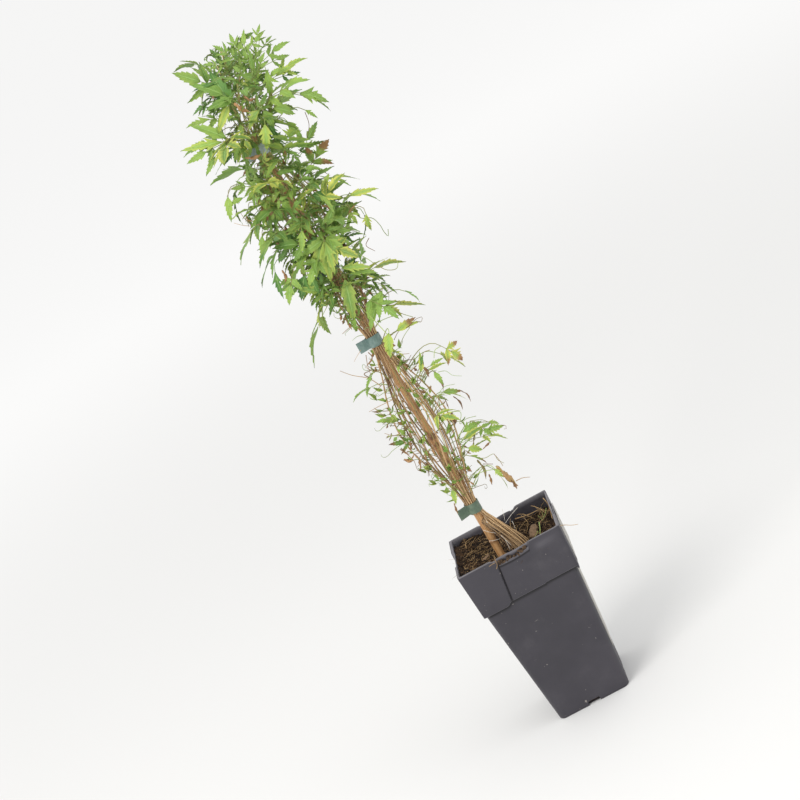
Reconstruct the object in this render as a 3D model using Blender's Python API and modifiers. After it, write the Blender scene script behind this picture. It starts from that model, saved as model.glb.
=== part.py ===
"""Climbing plant with toothed leaves, tied to a bamboo cane in a square nursery pot.

Metres, +Z up. The origin is the centre of the pot's base and the pot's front faces -Y.
Each leafy stem is one solid: a thin stem, its leaf stalks and its toothed leaves, fused.
"""

import math
import random

import bmesh
import bpy
import numpy as np
from mathutils import Matrix, Vector

MM = 0.001
GAP = 0.3 * MM

# Pot: a square taper with a deep collar
POT_HEIGHT = 237 * MM
RIM_WIDTH = 140 * MM
BASE_WIDTH = 97 * MM
BODY_TOP_WIDTH = 137 * MM
COLLAR_BOTTOM_WIDTH = 133.5 * MM
COLLAR_HEIGHT = 60 * MM
WALL = 2 * MM
FLOOR_THICKNESS = 3 * MM
POT_CORNER = 9 * MM
PANEL_LEFT = -14 * MM
PANEL_RIGHT = 22 * MM
PANEL_RECESS = 1.2 * MM
SCOOP_DEPTH = 4 * MM
SLOT_SKIN = 0.6 * MM
SLOT_WIDTH = 0.9 * MM
SLOT_DEPTH = 9 * MM
NOTCH_WIDTH = 16 * MM
NOTCH_HEIGHT = 5 * MM
DRAIN_RADIUS = 5 * MM
DRAIN_RING = 30 * MM

# Bare label on the right side: down the collar, over its step and down the body
LABEL_THICKNESS = 0.6 * MM
LABEL_WIDTH = 84 * MM
LABEL_TOP = 228 * MM
LABEL_BOTTOM = 52 * MM
LABEL_SLOPE = 5 * MM

# Potting mix
SOIL_TOP = 214 * MM
SOIL_RELIEF = 2.6 * MM
SOIL_STEPS = 10
SOIL_WAVES = (210, 160, 330)

# Cane: leans a little to the left
CANE_RADIUS = 5.2 * MM
CANE_BOTTOM = 40 * MM
CANE_TOP = 815 * MM
CANE_FOOT = (-13.5 * MM, -3 * MM)
CANE_FOOT_HEIGHT = 220 * MM
CANE_LEAN = -0.011
CANE_JOINTS = (64 * MM, 236 * MM, 392 * MM, 540 * MM, 676 * MM, 794 * MM)
CANE_JOINT_HALF = 5 * MM
CANE_SHARE = 0.93
CANE_SIDES = 8

# Ties: green tape bands with a folded end at the left
TIE_HEIGHTS = (287 * MM, 531 * MM, 636 * MM, 797 * MM)
TIE_BAND = 13.5 * MM
TIE_THICKNESS = 0.8 * MM
TIE_FLAG = 13 * MM
TIE_FLAG_TURN = (205, 190, 200, 215)
TIE_SIDES = 14
FLAG_INSET = 0.4 * MM
FLAG_HALF_THICKNESS = 0.7 * MM

# Stems: they leave the crown in a fan, are tied in a ring against the cane and bow between ties
STEM_COUNT = 16
STEM_SEED = 11
STEM_RADIUS_FOOT = 1.1 * MM
STEM_RADIUS_TIP = 0.75 * MM
STEM_ROOT = 30 * MM
STEM_CLEAR = 0.4 * MM
RING_RADIUS = CANE_RADIUS + STEM_CLEAR + STEM_RADIUS_FOOT + 0.45 * MM
TIE_MARGIN = 2 * MM
STEM_BOWS = ((8, 28), (3, 10), (6, 24))
FAN_POWER = 1.2
STEM_TOPS = (848, 918)
SHORT_TOPS = (826, 850)
SHORT_EVERY = 4
TOP_SPREAD = (14, 46)
LOW_RINGS = (3, 16, 31, 48, 64, 82)
RING_START = 320 * MM
RING_STEP = 34 * MM
RING_GAP = 11.9 * MM
RING_AT_TIE = 9 * MM
CROWN_OFFSET = (28.5 * MM, -14 * MM)
CROWN_ROWS = (-4.6 * MM, 0, 4.6 * MM)
CROWN_SPREAD = 0.092
STEM_TWIST = math.radians(250)
STEM_WOBBLE = math.radians(7)
TIP_DRIFT = 34 * MM
TIP_REACH = 918 * MM

# Leaves
BLADE_THICKNESS = 0.95 * MM
STALK_RADIUS = 0.8 * MM
STALK_STEPS = 3
RIB_HALF_WIDTH = 1.0 * MM
LEAF_CLEAR = 5.2 * MM
STALK_CLEAR = 3.0 * MM
OWN_STEM_CLEAR = 2 * MM
CANE_CLEAR = 8.5 * MM
REACH = 12 * MM
LEAF_SEED = 5
ARCH_ALONG = 0.20
ARCH_ACROSS = 0.32

# Half outline of a side leaflet as (along, across) shares: base, shoulder, tooth, notch, tip ...
SIDE_LEAFLET = ((0.00, 0.16), (0.24, 0.86), (0.52, 1.00), (0.57, 0.58), (1.00, 0.05), (0.52, -0.95),
                (0.00, -0.16))
END_LEAFLET = ((0.06, 0.34), (0.34, 1.00), (0.41, 0.64), (0.66, 0.74), (0.71, 0.42))

# By the number of pairs of side leaflets: the end leaflet's share of the leaf, its half width,
# and where the pairs stand on the rib
END_SHARE = (1.0, 0.62, 0.46)
HALF_WIDTH = (0.165, 0.155, 0.135)
PAIR_PLACES = ((), (0.55,), (0.30, 0.78))
SIDE_REACH = 0.52
SIDE_SLANT = 56
SIDE_WIDTH = 0.62

# Leaves placed where the plant shows them: (pairs, base, tip, width share), millimetres
PLACED_LEAVES = (
    (1, (-12, -34, 856), (-40, -40, 908), 1.15),
    (0, (-24, -36, 862), (-52, -40, 842), 1.0),
    (1, (44, -14, 836), (82, -18, 808), 1.0),
    (2, (-50, -10, 832), (-100, -14, 843), 0.9),
    (2, (-56, -24, 818), (-94, -30, 800), 0.9),
    (1, (-66, -4, 774), (-94, -8, 740), 1.0),
    (1, (14, -40, 712), (48, -46, 736), 1.1),
    (0, (43, -10, 701), (77, -12, 690), 1.0),
    (0, (37, -18, 686), (24, -24, 662), 1.1),
    (0, (47, -4, 671), (42, -6, 645), 1.1),
    (1, (-20, -44, 676), (-58, -50, 700), 1.2),
    (1, (-18, -46, 660), (-50, -54, 640), 1.2),
    (1, (-12, -46, 652), (-24, -58, 612), 1.2),
    (1, (-6, -44, 666), (22, -52, 640), 1.2),
    (0, (-8, -40, 620), (-26, -46, 570), 1.1),
    (0, (0, -32, 622), (30, -36, 612), 1.1),
    (0, (20, -10, 606), (34, -12, 590), 1.1),
    (1, (-56, -22, 652), (-74, -26, 614), 1.0),
    (0, (-46, -16, 640), (-50, -20, 612), 1.1),
    (0, (-28, -24, 604), (-50, -28, 592), 1.1),
    (0, (44, -6, 566), (58, -8, 550), 1.3),
    (0, (13, -24, 532), (42, -28, 534), 1.0),
    (0, (6, -32, 534), (-10, -36, 504), 1.2),
    (1, (38, -8, 484), (69, -10, 456), 1.1),
    (0, (14, -24, 474), (26, -28, 494), 1.1),
    (0, (24, -20, 470), (46, -24, 474), 1.0),
    (0, (29, -12, 460), (31, -16, 438), 1.1),
    (0, (24, -8, 432), (50, -12, 423), 0.9),
    (0, (20, -30, 376), (46, -36, 386), 1.1),
    (1, (34, -24, 368), (68, -30, 361), 1.1),
    (0, (16, -36, 356), (34, -40, 344), 1.1),
    (0, (30, -18, 324), (44, -22, 296), 0.9),
    (0, (-38, -2, 430), (-62, -4, 446), 1.0),
    (1, (-36, -10, 396), (-60, -14, 414), 1.0),
)

# Leaves that follow a rule: lowest, highest and step of height and leaf length, in mm, and the
# numbers of pairs that are drawn from
RULE_BANDS = ((556, 902, 7.0, 64, (1, 1, 2)), (335, 545, 30, 36, (0, 1)))
TOP_ZONE = 840 * MM
TOP_SHRINK = 0.75
FARTHEST_TIP = 98 * MM
HIGHEST_TIP = 928 * MM


def cane_axis(z):
    """The cane's centre line at a height."""
    return np.array([CANE_FOOT[0] + (z - CANE_FOOT_HEIGHT) * CANE_LEAN, CANE_FOOT[1], z])


def stem_radius(z):
    """A stem's radius thins out evenly from the soil to the tips."""
    share = min(max((z - SOIL_TOP) / (CANE_TOP - SOIL_TOP), 0.0), 1.0)
    return STEM_RADIUS_FOOT + (STEM_RADIUS_TIP - STEM_RADIUS_FOOT) * share


def stem_habits():
    """Seeded habits of each stem: its bows between the ties, its top and its spread there."""
    draw = random.Random(STEM_SEED)
    habits = []
    for number in range(STEM_COUNT):
        habits.append({
            "bows": [draw.uniform(*bow) * MM for bow in STEM_BOWS],
            "wobble": draw.uniform(-1, 1),
            "phase": draw.uniform(0, math.tau),
            "top": draw.uniform(*(STEM_TOPS if number % SHORT_EVERY else SHORT_TOPS)) * MM,
            "spread": draw.uniform(*TOP_SPREAD) * MM,
        })
    return habits


HABITS = stem_habits()


def stem_point(number, z):
    """A stem's centre at a height: a fan from the crown, bows between ties, then a loose top."""
    habit = HABITS[number]
    axis = cane_axis(z)
    crown_angle = math.atan2(CROWN_OFFSET[1], CROWN_OFFSET[0])
    angle = math.tau * (number + 0.5) / STEM_COUNT - math.pi
    first_tie = TIE_HEIGHTS[0] - TIE_BAND / 2 - TIE_MARGIN
    if z <= first_tie:
        fan = min((first_tie - z) / (first_tie - SOIL_TOP - 2 * TIE_MARGIN), 1.0)
        row = math.hypot(*CROWN_OFFSET) + CROWN_ROWS[number % len(CROWN_ROWS)]
        radius = RING_RADIUS + (row - RING_RADIUS) * fan ** FAN_POWER
        angle = crown_angle + angle * (1 - (1 - CROWN_SPREAD) * fan)
    else:
        radius = RING_RADIUS
        angle += crown_angle + STEM_TWIST * (z - first_tie)
        for tie, bow in enumerate(habit["bows"]):
            low = TIE_HEIGHTS[tie] + TIE_BAND / 2 + TIE_MARGIN
            high = TIE_HEIGHTS[tie + 1] - TIE_BAND / 2 - TIE_MARGIN
            if low < z < high:
                share = (z - low) / (high - low)
                window = math.sin(math.pi * share) ** 1.5
                radius += bow * window
                sway = math.sin(habit["phase"] + 9 * share) * STEM_WOBBLE
                angle += (sway + STEM_WOBBLE * 0.4 * habit["wobble"]) * window
        loose = TIE_HEIGHTS[-1] + TIE_BAND / 2 + TIE_MARGIN
        if z > loose:
            share = (z - loose) / (TIP_REACH - loose)
            radius += habit["spread"] * share ** 1.3
            axis[0] += TIP_DRIFT * share ** 1.6
    return axis + radius * np.array([math.cos(angle), math.sin(angle), 0.0])


def stem_heights(number):
    """Heights of a stem's rings, closer together where it bends most."""
    top = HABITS[number]["top"]
    heights = [SOIL_TOP - STEM_ROOT] + [SOIL_TOP + rise * MM for rise in LOW_RINGS]
    for z in np.arange(RING_START, top - RING_STEP / 3, RING_STEP):
        if all(abs(z - tie) > RING_GAP for tie in TIE_HEIGHTS):
            heights.append(float(z))
    for tie in TIE_HEIGHTS[1:]:
        heights += [tie - RING_AT_TIE, tie + RING_AT_TIE]
    return sorted(h for h in heights if h < top - 4 * MM) + [top]


def stem_line(number):
    """A stem's ring centres: its root goes straight down into the soil."""
    points = np.array([stem_point(number, z) for z in stem_heights(number)])
    points[0, :2] = points[1, :2]
    return points


STEM_LINES = [stem_line(number) for number in range(STEM_COUNT)]


def on_stem(number, z):
    """The centre of the built stem at a height, on the straight run between two rings."""
    line = STEM_LINES[number]
    return np.array([np.interp(z, line[:, 2], line[:, axis]) for axis in range(3)])


def unit(vector):
    """The vector at length one."""
    return vector / np.linalg.norm(vector)


def leaf_shape(pairs, length, width_share):
    """Outline of a leaf from its base round to its base again, its rib along X.

    Side leaflets stand off the rib at a slant, cut right down to it, and the end leaflet
    closes the leaf. Each leaflet has a shoulder, a tooth and a notch.
    """
    end_length = length * END_SHARE[pairs]
    half = HALF_WIDTH[pairs] * length * width_share
    edge = [(0.0, RIB_HALF_WIDTH)]
    for pair, place in enumerate(PAIR_PLACES[pairs]):
        start = (length - end_length) * place
        slant = math.radians(SIDE_SLANT - 8 * pair)
        reach = length * SIDE_REACH * (1 - 0.12 * pair)
        for along, across in SIDE_LEAFLET:
            s = along * reach
            v = across * half * SIDE_WIDTH if 0 < along < 1 else across * RIB_HALF_WIDTH * 3
            x = start + s * math.cos(slant) - v * math.sin(slant)
            y = s * math.sin(slant) + v * math.cos(slant)
            edge.append((x, max(y, RIB_HALF_WIDTH)))
    for along, across in END_LEAFLET:
        edge.append((length - end_length + along * end_length, max(across * half, RIB_HALF_WIDTH)))
    mirror = [(x, -y) for x, y in reversed(edge)]
    return edge + [(length, 0.0)] + mirror


def leaf_arch(x, y, length):
    """Height of the arched blade over its plane: it droops to the tip and to its sides."""
    return -ARCH_ALONG * x * x / length - ARCH_ACROSS * y * y / length


def leaf_points(leaf):
    """The leaf's outline in space."""
    flat = np.array(leaf_shape(leaf["pairs"], leaf["length"], leaf["width"]))
    along = leaf["direction"]
    normal = leaf["normal"]
    across = np.cross(normal, along)
    rise = leaf_arch(flat[:, 0], flat[:, 1], leaf["length"])
    return leaf["base"] + flat[:, :1] * along + flat[:, 1:] * across + rise[:, None] * normal


def stalk_points(leaf):
    """A leaf stalk: a curve from inside the stem to the leaf's base, where it meets its rib."""
    start = leaf["attach"]
    end = leaf["base"] - leaf["normal"] * BLADE_THICKNESS / 2
    reach = np.linalg.norm(end - start)
    bend = end - leaf["direction"] * reach * 0.4 + np.array([0, 0, reach * 0.08])
    return np.array([(1 - s) ** 2 * start + 2 * s * (1 - s) * bend + s ** 2 * end
                     for s in np.linspace(0, 1, STALK_STEPS + 1)])


def between(points, count):
    """Points with others set evenly between them."""
    shares = np.linspace(0, 1, count, endpoint=False)[:, None, None]
    return (points[None, :-1] * (1 - shares) + points[None, 1:] * shares).reshape(-1, 3)


def leaf_samples(leaf):
    """Points spread over a leaf: along its edge, and halfway from its edge to its rib."""
    edge = between(leaf_points(leaf), 3)
    along = (edge - leaf["base"]) @ leaf["direction"]
    rib = leaf["base"] + along[:, None] * leaf["direction"]
    rib = rib + leaf_arch(along, 0.0, leaf["length"])[:, None] * leaf["normal"]
    return np.concatenate([edge, (edge + rib) / 2, rib])


def nearest(points, others):
    """Shortest distance between two sets of points, where it is less than the reach looked at."""
    low = points.min(axis=0) - REACH
    high = points.max(axis=0) + REACH
    near = others[((others > low) & (others < high)).all(axis=1)]
    if not len(near):
        return REACH
    return math.sqrt(((points[:, None] - near[None]) ** 2).sum(axis=2).min())


class Clearance:
    """What each new leaf has to stay clear of, as points."""

    def __init__(self):
        self.stems = []
        for number in range(STEM_COUNT):
            heights = np.arange(SOIL_TOP, HABITS[number]["top"], 3 * MM)
            self.stems.append(np.array([on_stem(number, z) for z in heights]))
        self.cane = np.array([cane_axis(z) for z in np.arange(SOIL_TOP, CANE_TOP, 4 * MM)])
        self.flags = np.concatenate([flag_samples(tie) for tie in range(len(TIE_HEIGHTS))])
        self.blades = np.zeros((0, 3))
        self.stalks = np.zeros((0, 3))

    def fits(self, leaf):
        """True where the leaf keeps its distance from all that is there."""
        others = np.concatenate([s for n, s in enumerate(self.stems) if n != leaf["stem"]])
        blade = leaf_samples(leaf)
        if nearest(blade, others) < STALK_CLEAR + 1.2 * MM:
            return False
        if nearest(blade, self.stems[leaf["stem"]]) < OWN_STEM_CLEAR:
            return False
        if nearest(blade, self.cane) < CANE_CLEAR or nearest(blade, self.flags) < LEAF_CLEAR:
            return False
        if nearest(blade, self.blades) < LEAF_CLEAR or nearest(blade, self.stalks) < LEAF_CLEAR:
            return False
        stalk = between(stalk_points(leaf), 4)
        if nearest(stalk, others) < STALK_CLEAR or nearest(stalk, self.cane) < CANE_CLEAR:
            return False
        if nearest(stalk, self.flags) < STALK_CLEAR or nearest(stalk, self.stalks) < STALK_CLEAR:
            return False
        return nearest(stalk, self.blades) > LEAF_CLEAR - 1.5 * MM

    def add(self, leaf):
        """Later leaves stay clear of this one too."""
        self.blades = np.concatenate([self.blades, leaf_samples(leaf)])
        self.stalks = np.concatenate([self.stalks, between(stalk_points(leaf), 4)[3:]])


def flag_samples(tie):
    """Points over a tie's folded end."""
    centre = cane_axis(TIE_HEIGHTS[tie])
    turn = math.radians(TIE_FLAG_TURN[tie])
    out = np.array([math.cos(turn), math.sin(turn), 0.0])
    reach = RING_RADIUS + STEM_RADIUS_FOOT
    points = []
    for share in (0.2, 0.6, 1.0):
        for lift in (-0.5, 0.0, 0.5):
            points.append(centre + out * (reach + share * TIE_FLAG) + (0, 0, lift * TIE_BAND))
    return np.array(points)


def leaf_frame(direction, outward, roll):
    """The blade's normal: it faces up and out, and is rolled about its rib."""
    normal = 0.75 * outward + np.array([0, 0, 0.66])
    normal = unit(normal - direction * (normal @ direction))
    across = np.cross(direction, normal)
    return unit(normal * math.cos(roll) + across * math.sin(roll))


def make_leaf(number, attach_z, base, tip, pairs, width, roll):
    """A leaf on a stem, from its base to its tip."""
    direction = unit(tip - base)
    outward = base - cane_axis(base[2])
    outward[2] = 0
    return {
        "stem": number, "attach": on_stem(number, attach_z), "base": base,
        "direction": direction, "normal": leaf_frame(direction, unit(outward), roll),
        "length": float(np.linalg.norm(tip - base)), "pairs": pairs, "width": width,
    }


def place_known_leaves(clearance, draw):
    """Leaves at stated places: each takes the nearest stem that its stalk can reach."""
    leaves = []
    for pairs, base, tip, width in PLACED_LEAVES:
        base = np.array(base) * MM
        tip = np.array(tip) * MM
        found = None
        for attempt in range(60):
            drop = (6 + 3 * (attempt % 6)) * MM
            shift = np.array([0, draw.uniform(-1, 1), draw.uniform(-0.4, 0.4)]) * attempt * 0.25 * MM
            roll = math.radians(draw.uniform(-25, 25))
            level = base[2] + shift[2] - drop
            ready = [n for n in range(STEM_COUNT) if HABITS[n]["top"] > level + 2 * MM]
            ready.sort(key=lambda n: np.linalg.norm(on_stem(n, level) - base))
            for number in ready[:3]:
                leaf = make_leaf(number, level, base + shift, tip + shift, pairs, width, roll)
                if clearance.fits(leaf):
                    found = leaf
                    break
            if found:
                break
        if found:
            clearance.add(found)
            leaves.append(found)
    return leaves


def place_rule_leaves(clearance, draw):
    """Leaves up each band in a spiral of the golden angle, each drawn again until it is clear."""
    leaves = []
    golden = math.pi * (3 - math.sqrt(5))
    for low, high, step, size, choices in RULE_BANDS:
        count = int((high - low) / step)
        for index in range(count):
            for attempt in range(40):
                level = (low + (index + draw.uniform(0, 1)) * step) * MM
                turn = golden * index + draw.uniform(-0.7, 0.7) * (1 + attempt * 0.05)
                out = np.array([math.cos(turn), math.sin(turn), 0.0])
                wanted = cane_axis(level) + out * 20 * MM
                ready = [n for n in range(STEM_COUNT) if HABITS[n]["top"] > level]
                if not ready:
                    break
                number = min(ready, key=lambda n: np.linalg.norm(on_stem(n, level) - wanted))
                attach = on_stem(number, level)
                near_top = level > TOP_ZONE
                length = size * draw.uniform(0.75, 1.15) * (TOP_SHRINK if near_top else 1.0) * MM
                stalk = draw.uniform(6, 20) * MM
                base = attach + out * stalk + np.array([0, 0, draw.uniform(0.1, 0.7) * stalk])
                pitch = math.radians(draw.uniform(5, 50) if near_top else draw.uniform(-45, 30))
                swing = turn + draw.uniform(-0.6, 0.6)
                aim = np.array([math.cos(swing), math.sin(swing), math.tan(pitch)])
                tip = base + unit(aim) * length
                far = math.hypot(*(tip - cane_axis(tip[2]))[:2])
                if far > FARTHEST_TIP or tip[2] > HIGHEST_TIP:
                    continue
                pairs = draw.choice(choices)
                roll = math.radians(draw.uniform(-30, 30))
                leaf = make_leaf(number, level, base, tip, pairs, draw.uniform(0.9, 1.15), roll)
                if clearance.fits(leaf):
                    clearance.add(leaf)
                    leaves.append(leaf)
                    break
    return leaves


def plan_leaves():
    """All the leaves, in the order in which they are placed."""
    clearance = Clearance()
    draw = random.Random(LEAF_SEED)
    return place_known_leaves(clearance, draw) + place_rule_leaves(clearance, draw)


def clear_scene():
    """Removes what Blender starts with."""
    for item in list(bpy.data.objects):
        bpy.data.objects.remove(item, do_unlink=True)


def new_collection(name):
    """An empty collection in the scene."""
    collection = bpy.data.collections.new(name)
    bpy.context.scene.collection.children.link(collection)
    return collection


def material(name, colour, roughness):
    """A plain finish of one colour."""
    made = bpy.data.materials.new(name)
    made.use_nodes = True
    shader = made.node_tree.nodes["Principled BSDF"]
    shader.inputs["Base Color"].default_value = (*colour, 1.0)
    shader.inputs["Roughness"].default_value = roughness
    shader.inputs["Metallic"].default_value = 0.0
    return made


def mesh_object(name, mesh, collection, finish=None):
    """An object for a mesh, in a collection."""
    made = bpy.data.objects.new(name, mesh)
    collection.objects.link(made)
    if finish:
        mesh.materials.append(finish)
    return made


def from_bmesh(name, bm, collection, finish=None):
    """An object for a bmesh, which it frees."""
    mesh = bpy.data.meshes.new(name)
    bm.to_mesh(mesh)
    bm.free()
    return mesh_object(name, mesh, collection, finish)


def as_cutter(item):
    """Keeps a piece that only cuts out of the part."""
    item.hide_render = True
    item.display_type = "WIRE"
    return item


def baked(item, collection, finish=None):
    """The object's evaluated mesh as a plain object of the same name."""
    graph = bpy.context.evaluated_depsgraph_get()
    mesh = bpy.data.meshes.new_from_object(item.evaluated_get(graph))
    place = item.matrix_world.copy()
    name = item.name
    bpy.data.objects.remove(item, do_unlink=True)
    bm = bmesh.new()
    bm.from_mesh(mesh)
    bmesh.ops.remove_doubles(bm, verts=bm.verts, dist=0.001 * MM)
    bm.to_mesh(mesh)
    bm.free()
    mesh.materials.clear()
    made = mesh_object(name, mesh, collection, finish)
    made.matrix_world = place
    return made


def boolean(item, operation, collection):
    """One Boolean of the object with all that a collection holds."""
    step = item.modifiers.new(operation.title(), "BOOLEAN")
    step.operation = operation
    step.solver = "EXACT"
    step.operand_type = "COLLECTION"
    step.collection = collection
    return step


def tapered_box(name, low, high, low_width, high_width, corner, collection, finish=None):
    """A square taper with rounded upright edges."""
    bm = bmesh.new()
    bmesh.ops.create_cube(bm, size=1)
    for vert in bm.verts:
        width = high_width if vert.co.z > 0 else low_width
        vert.co.x *= width
        vert.co.y *= width
        vert.co.z = high if vert.co.z > 0 else low
    upright = [e for e in bm.edges if abs(e.verts[0].co.z - e.verts[1].co.z) > 0.5 * (high - low)]
    bmesh.ops.bevel(bm, geom=upright, offset=corner, segments=3, profile=0.5, affect="EDGES")
    return from_bmesh(name, bm, collection, finish)


def block(name, low, high, collection):
    """A plain box between two corners."""
    bm = bmesh.new()
    bmesh.ops.create_cube(bm, size=1)
    for vert in bm.verts:
        for axis in range(3):
            vert.co[axis] = high[axis] if vert.co[axis] > 0 else low[axis]
    return from_bmesh(name, bm, collection)


def rod(name, centre, radius, low, high, sides, collection):
    """An upright cylinder."""
    bm = bmesh.new()
    place = Matrix.Translation((centre[0], centre[1], (low + high) / 2))
    bmesh.ops.create_cone(bm, cap_ends=True, segments=sides, radius1=radius, radius2=radius,
                          depth=high - low, matrix=place)
    return from_bmesh(name, bm, collection)


def emptied(collection):
    """Removes the objects of a collection once a Boolean has used them."""
    for item in list(collection.objects):
        bpy.data.objects.remove(item, do_unlink=True)


def body_half(z):
    """Half the width of the pot's tapered body at a height."""
    return (BASE_WIDTH + (BODY_TOP_WIDTH - BASE_WIDTH) * z / POT_HEIGHT) / 2


def collar_half(z):
    """Half the width of the collar at a height."""
    low = POT_HEIGHT - COLLAR_HEIGHT
    return (COLLAR_BOTTOM_WIDTH + (RIM_WIDTH - COLLAR_BOTTOM_WIDTH) * (z - low) / COLLAR_HEIGHT) / 2


def build_pot(parts, cutters, finish):
    """The pot: body and collar joined, then hollowed, with panels, scoops, slots and drains."""
    low = POT_HEIGHT - COLLAR_HEIGHT
    pot = tapered_box("pot", 0, POT_HEIGHT, BASE_WIDTH, BODY_TOP_WIDTH, POT_CORNER, parts, finish)
    joined = new_collection("pot_joined")
    tapered_box("collar", low, POT_HEIGHT + 0.001 * MM, COLLAR_BOTTOM_WIDTH, RIM_WIDTH,
                POT_CORNER, joined)
    boolean(pot, "UNION", joined)
    pot = baked(pot, parts, finish)
    emptied(joined)

    over = POT_HEIGHT + 5 * MM
    as_cutter(tapered_box("cavity", FLOOR_THICKNESS, over, 2 * (body_half(FLOOR_THICKNESS) - WALL),
                          2 * (body_half(over) - WALL), POT_CORNER - WALL, cutters))
    panel_middle = (PANEL_LEFT + PANEL_RIGHT) / 2
    half_chord = (PANEL_RIGHT - PANEL_LEFT) / 2
    scoop_radius = (half_chord ** 2 + SCOOP_DEPTH ** 2) / (2 * SCOOP_DEPTH)
    outer = RIM_WIDTH / 2 + 10 * MM
    face = -collar_half(low) + PANEL_RECESS
    lean = math.atan2(collar_half(POT_HEIGHT) - collar_half(low), COLLAR_HEIGHT)
    hinge = Matrix.Translation((0, -collar_half(low), low))
    tilt = hinge @ Matrix.Rotation(lean, 4, "X") @ hinge.inverted()
    for side in range(4):
        turn = Matrix.Rotation(side * math.pi / 2, 4, "Z")
        recess = block(f"recess_{side}", (PANEL_LEFT, -outer, low - 4 * MM),
                       (PANEL_RIGHT, face, over), cutters)
        recess.data.transform(tilt)
        scoop = rod(f"scoop_{side}", (0, 0), scoop_radius, -outer, -RIM_WIDTH / 2 + 8 * MM, 32, cutters)
        scoop.data.transform(Matrix.Rotation(-math.pi / 2, 4, "X"))
        scoop.data.transform(Matrix.Translation(
            (panel_middle, 0, POT_HEIGHT - SCOOP_DEPTH + scoop_radius)))
        slot = block(f"slot_{side}", (PANEL_LEFT + 3 * MM, face + SLOT_SKIN, POT_HEIGHT - SLOT_DEPTH),
                     (PANEL_RIGHT - 3 * MM, face + SLOT_SKIN + SLOT_WIDTH, over), cutters)
        slot.data.transform(tilt)
        notch = block(f"notch_{side}", (-NOTCH_WIDTH / 2, -outer, -5 * MM),
                      (NOTCH_WIDTH / 2, -BASE_WIDTH / 2 + 6 * MM, NOTCH_HEIGHT), cutters)
        drain = rod(f"drain_{side}", (DRAIN_RING, DRAIN_RING), DRAIN_RADIUS, -5 * MM,
                    FLOOR_THICKNESS + 5 * MM, 10, cutters)
        for cutter in (recess, scoop, slot, notch, drain):
            cutter.data.transform(turn)
            as_cutter(cutter)
    boolean(pot, "DIFFERENCE", cutters)
    return baked(pot, parts, finish)


def build_label(parts, finish):
    """The bare label: a thin strip whose section follows the collar, its step and the body."""
    step = POT_HEIGHT - COLLAR_HEIGHT
    inner = [
        (collar_half(LABEL_TOP) + GAP, LABEL_TOP),
        (collar_half(step) + GAP, step - LABEL_THICKNESS),
        (body_half(step) + GAP + 0.2 * MM, step - LABEL_SLOPE),
        (body_half(LABEL_BOTTOM) + GAP, LABEL_BOTTOM),
    ]
    outer = [(x + LABEL_THICKNESS, z) for x, z in reversed(inner)]
    bm = bmesh.new()
    ring = [bm.verts.new((x, -LABEL_WIDTH / 2, z)) for x, z in inner + outer]
    face = bm.faces.new(ring)
    grown = bmesh.ops.extrude_face_region(bm, geom=[face])
    moved = [v for v in grown["geom"] if isinstance(v, bmesh.types.BMVert)]
    bmesh.ops.translate(bm, verts=moved, vec=(0, LABEL_WIDTH, 0))
    bmesh.ops.recalc_face_normals(bm, faces=bm.faces)
    return from_bmesh("label", bm, parts, finish)


def soil_rise(x, y):
    """Low mounds and dips of the potting mix."""
    broad = math.sin(SOIL_WAVES[0] * x + 1.3) * math.cos(SOIL_WAVES[1] * y)
    fine = 0.6 * math.sin(SOIL_WAVES[2] * (x + y))
    return SOIL_RELIEF * (0.55 * (broad + fine) - 0.4)


def rounded_square(u, v, half, corner):
    """A point of a square grid from -1 to 1 moved into a square with rounded corners."""
    x = u * half
    y = v * half
    inner = half - corner
    dx = abs(x) - inner
    dy = abs(y) - inner
    if dx > 0 and dy > 0:
        shrink = max(dx, dy) / math.hypot(dx, dy)
        x = math.copysign(inner + dx * shrink, x)
        y = math.copysign(inner + dy * shrink, y)
    return x, y


def build_soil(parts, holes, finish):
    """Potting mix that fills the pot, with a plain hole for the cane and for each stem."""
    bottom = FLOOR_THICKNESS + GAP
    corner = POT_CORNER - WALL
    bm = bmesh.new()
    bmesh.ops.create_grid(bm, x_segments=SOIL_STEPS, y_segments=SOIL_STEPS, size=1)
    rim = [e for e in bm.edges if e.is_boundary]
    grown = bmesh.ops.extrude_edge_only(bm, edges=rim)["geom"]
    foot = {v for v in grown if isinstance(v, bmesh.types.BMVert)}
    for vert in bm.verts:
        level = bottom if vert in foot else SOIL_TOP
        half = body_half(level) - WALL - 1.3 * GAP
        x, y = rounded_square(vert.co.x, vert.co.y, half, corner)
        rise = 0 if vert in foot else soil_rise(x, y)
        edge = max(abs(vert.co.x), abs(vert.co.y)) > 0.99
        vert.co = (x, y, level + (min(rise, 0) if edge else rise))
    bmesh.ops.contextual_create(bm, geom=[e for e in bm.edges if e.is_boundary])
    bmesh.ops.recalc_face_normals(bm, faces=bm.faces)
    soil = from_bmesh("soil", bm, parts, finish)
    top = SOIL_TOP + 20 * MM
    for number in range(STEM_COUNT):
        place = STEM_LINES[number][0]
        as_cutter(rod(f"stem_hole_{number}", place, STEM_RADIUS_FOOT + GAP + 0.1 * MM,
                      SOIL_TOP - STEM_ROOT - GAP, top, 6, holes))
    cane_hole = rod("cane_hole", (0, 0), CANE_RADIUS + GAP + 0.2 * MM, CANE_BOTTOM - GAP, top, 12, holes)
    shear_to_cane(cane_hole)
    as_cutter(cane_hole)
    boolean(soil, "DIFFERENCE", holes)
    return baked(soil, parts, finish)


def shear_to_cane(item):
    """Leans an upright piece that is centred on the Z axis along the cane."""
    for vert in item.data.vertices:
        axis = cane_axis(vert.co.z)
        vert.co.x += axis[0]
        vert.co.y += axis[1]


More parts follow.
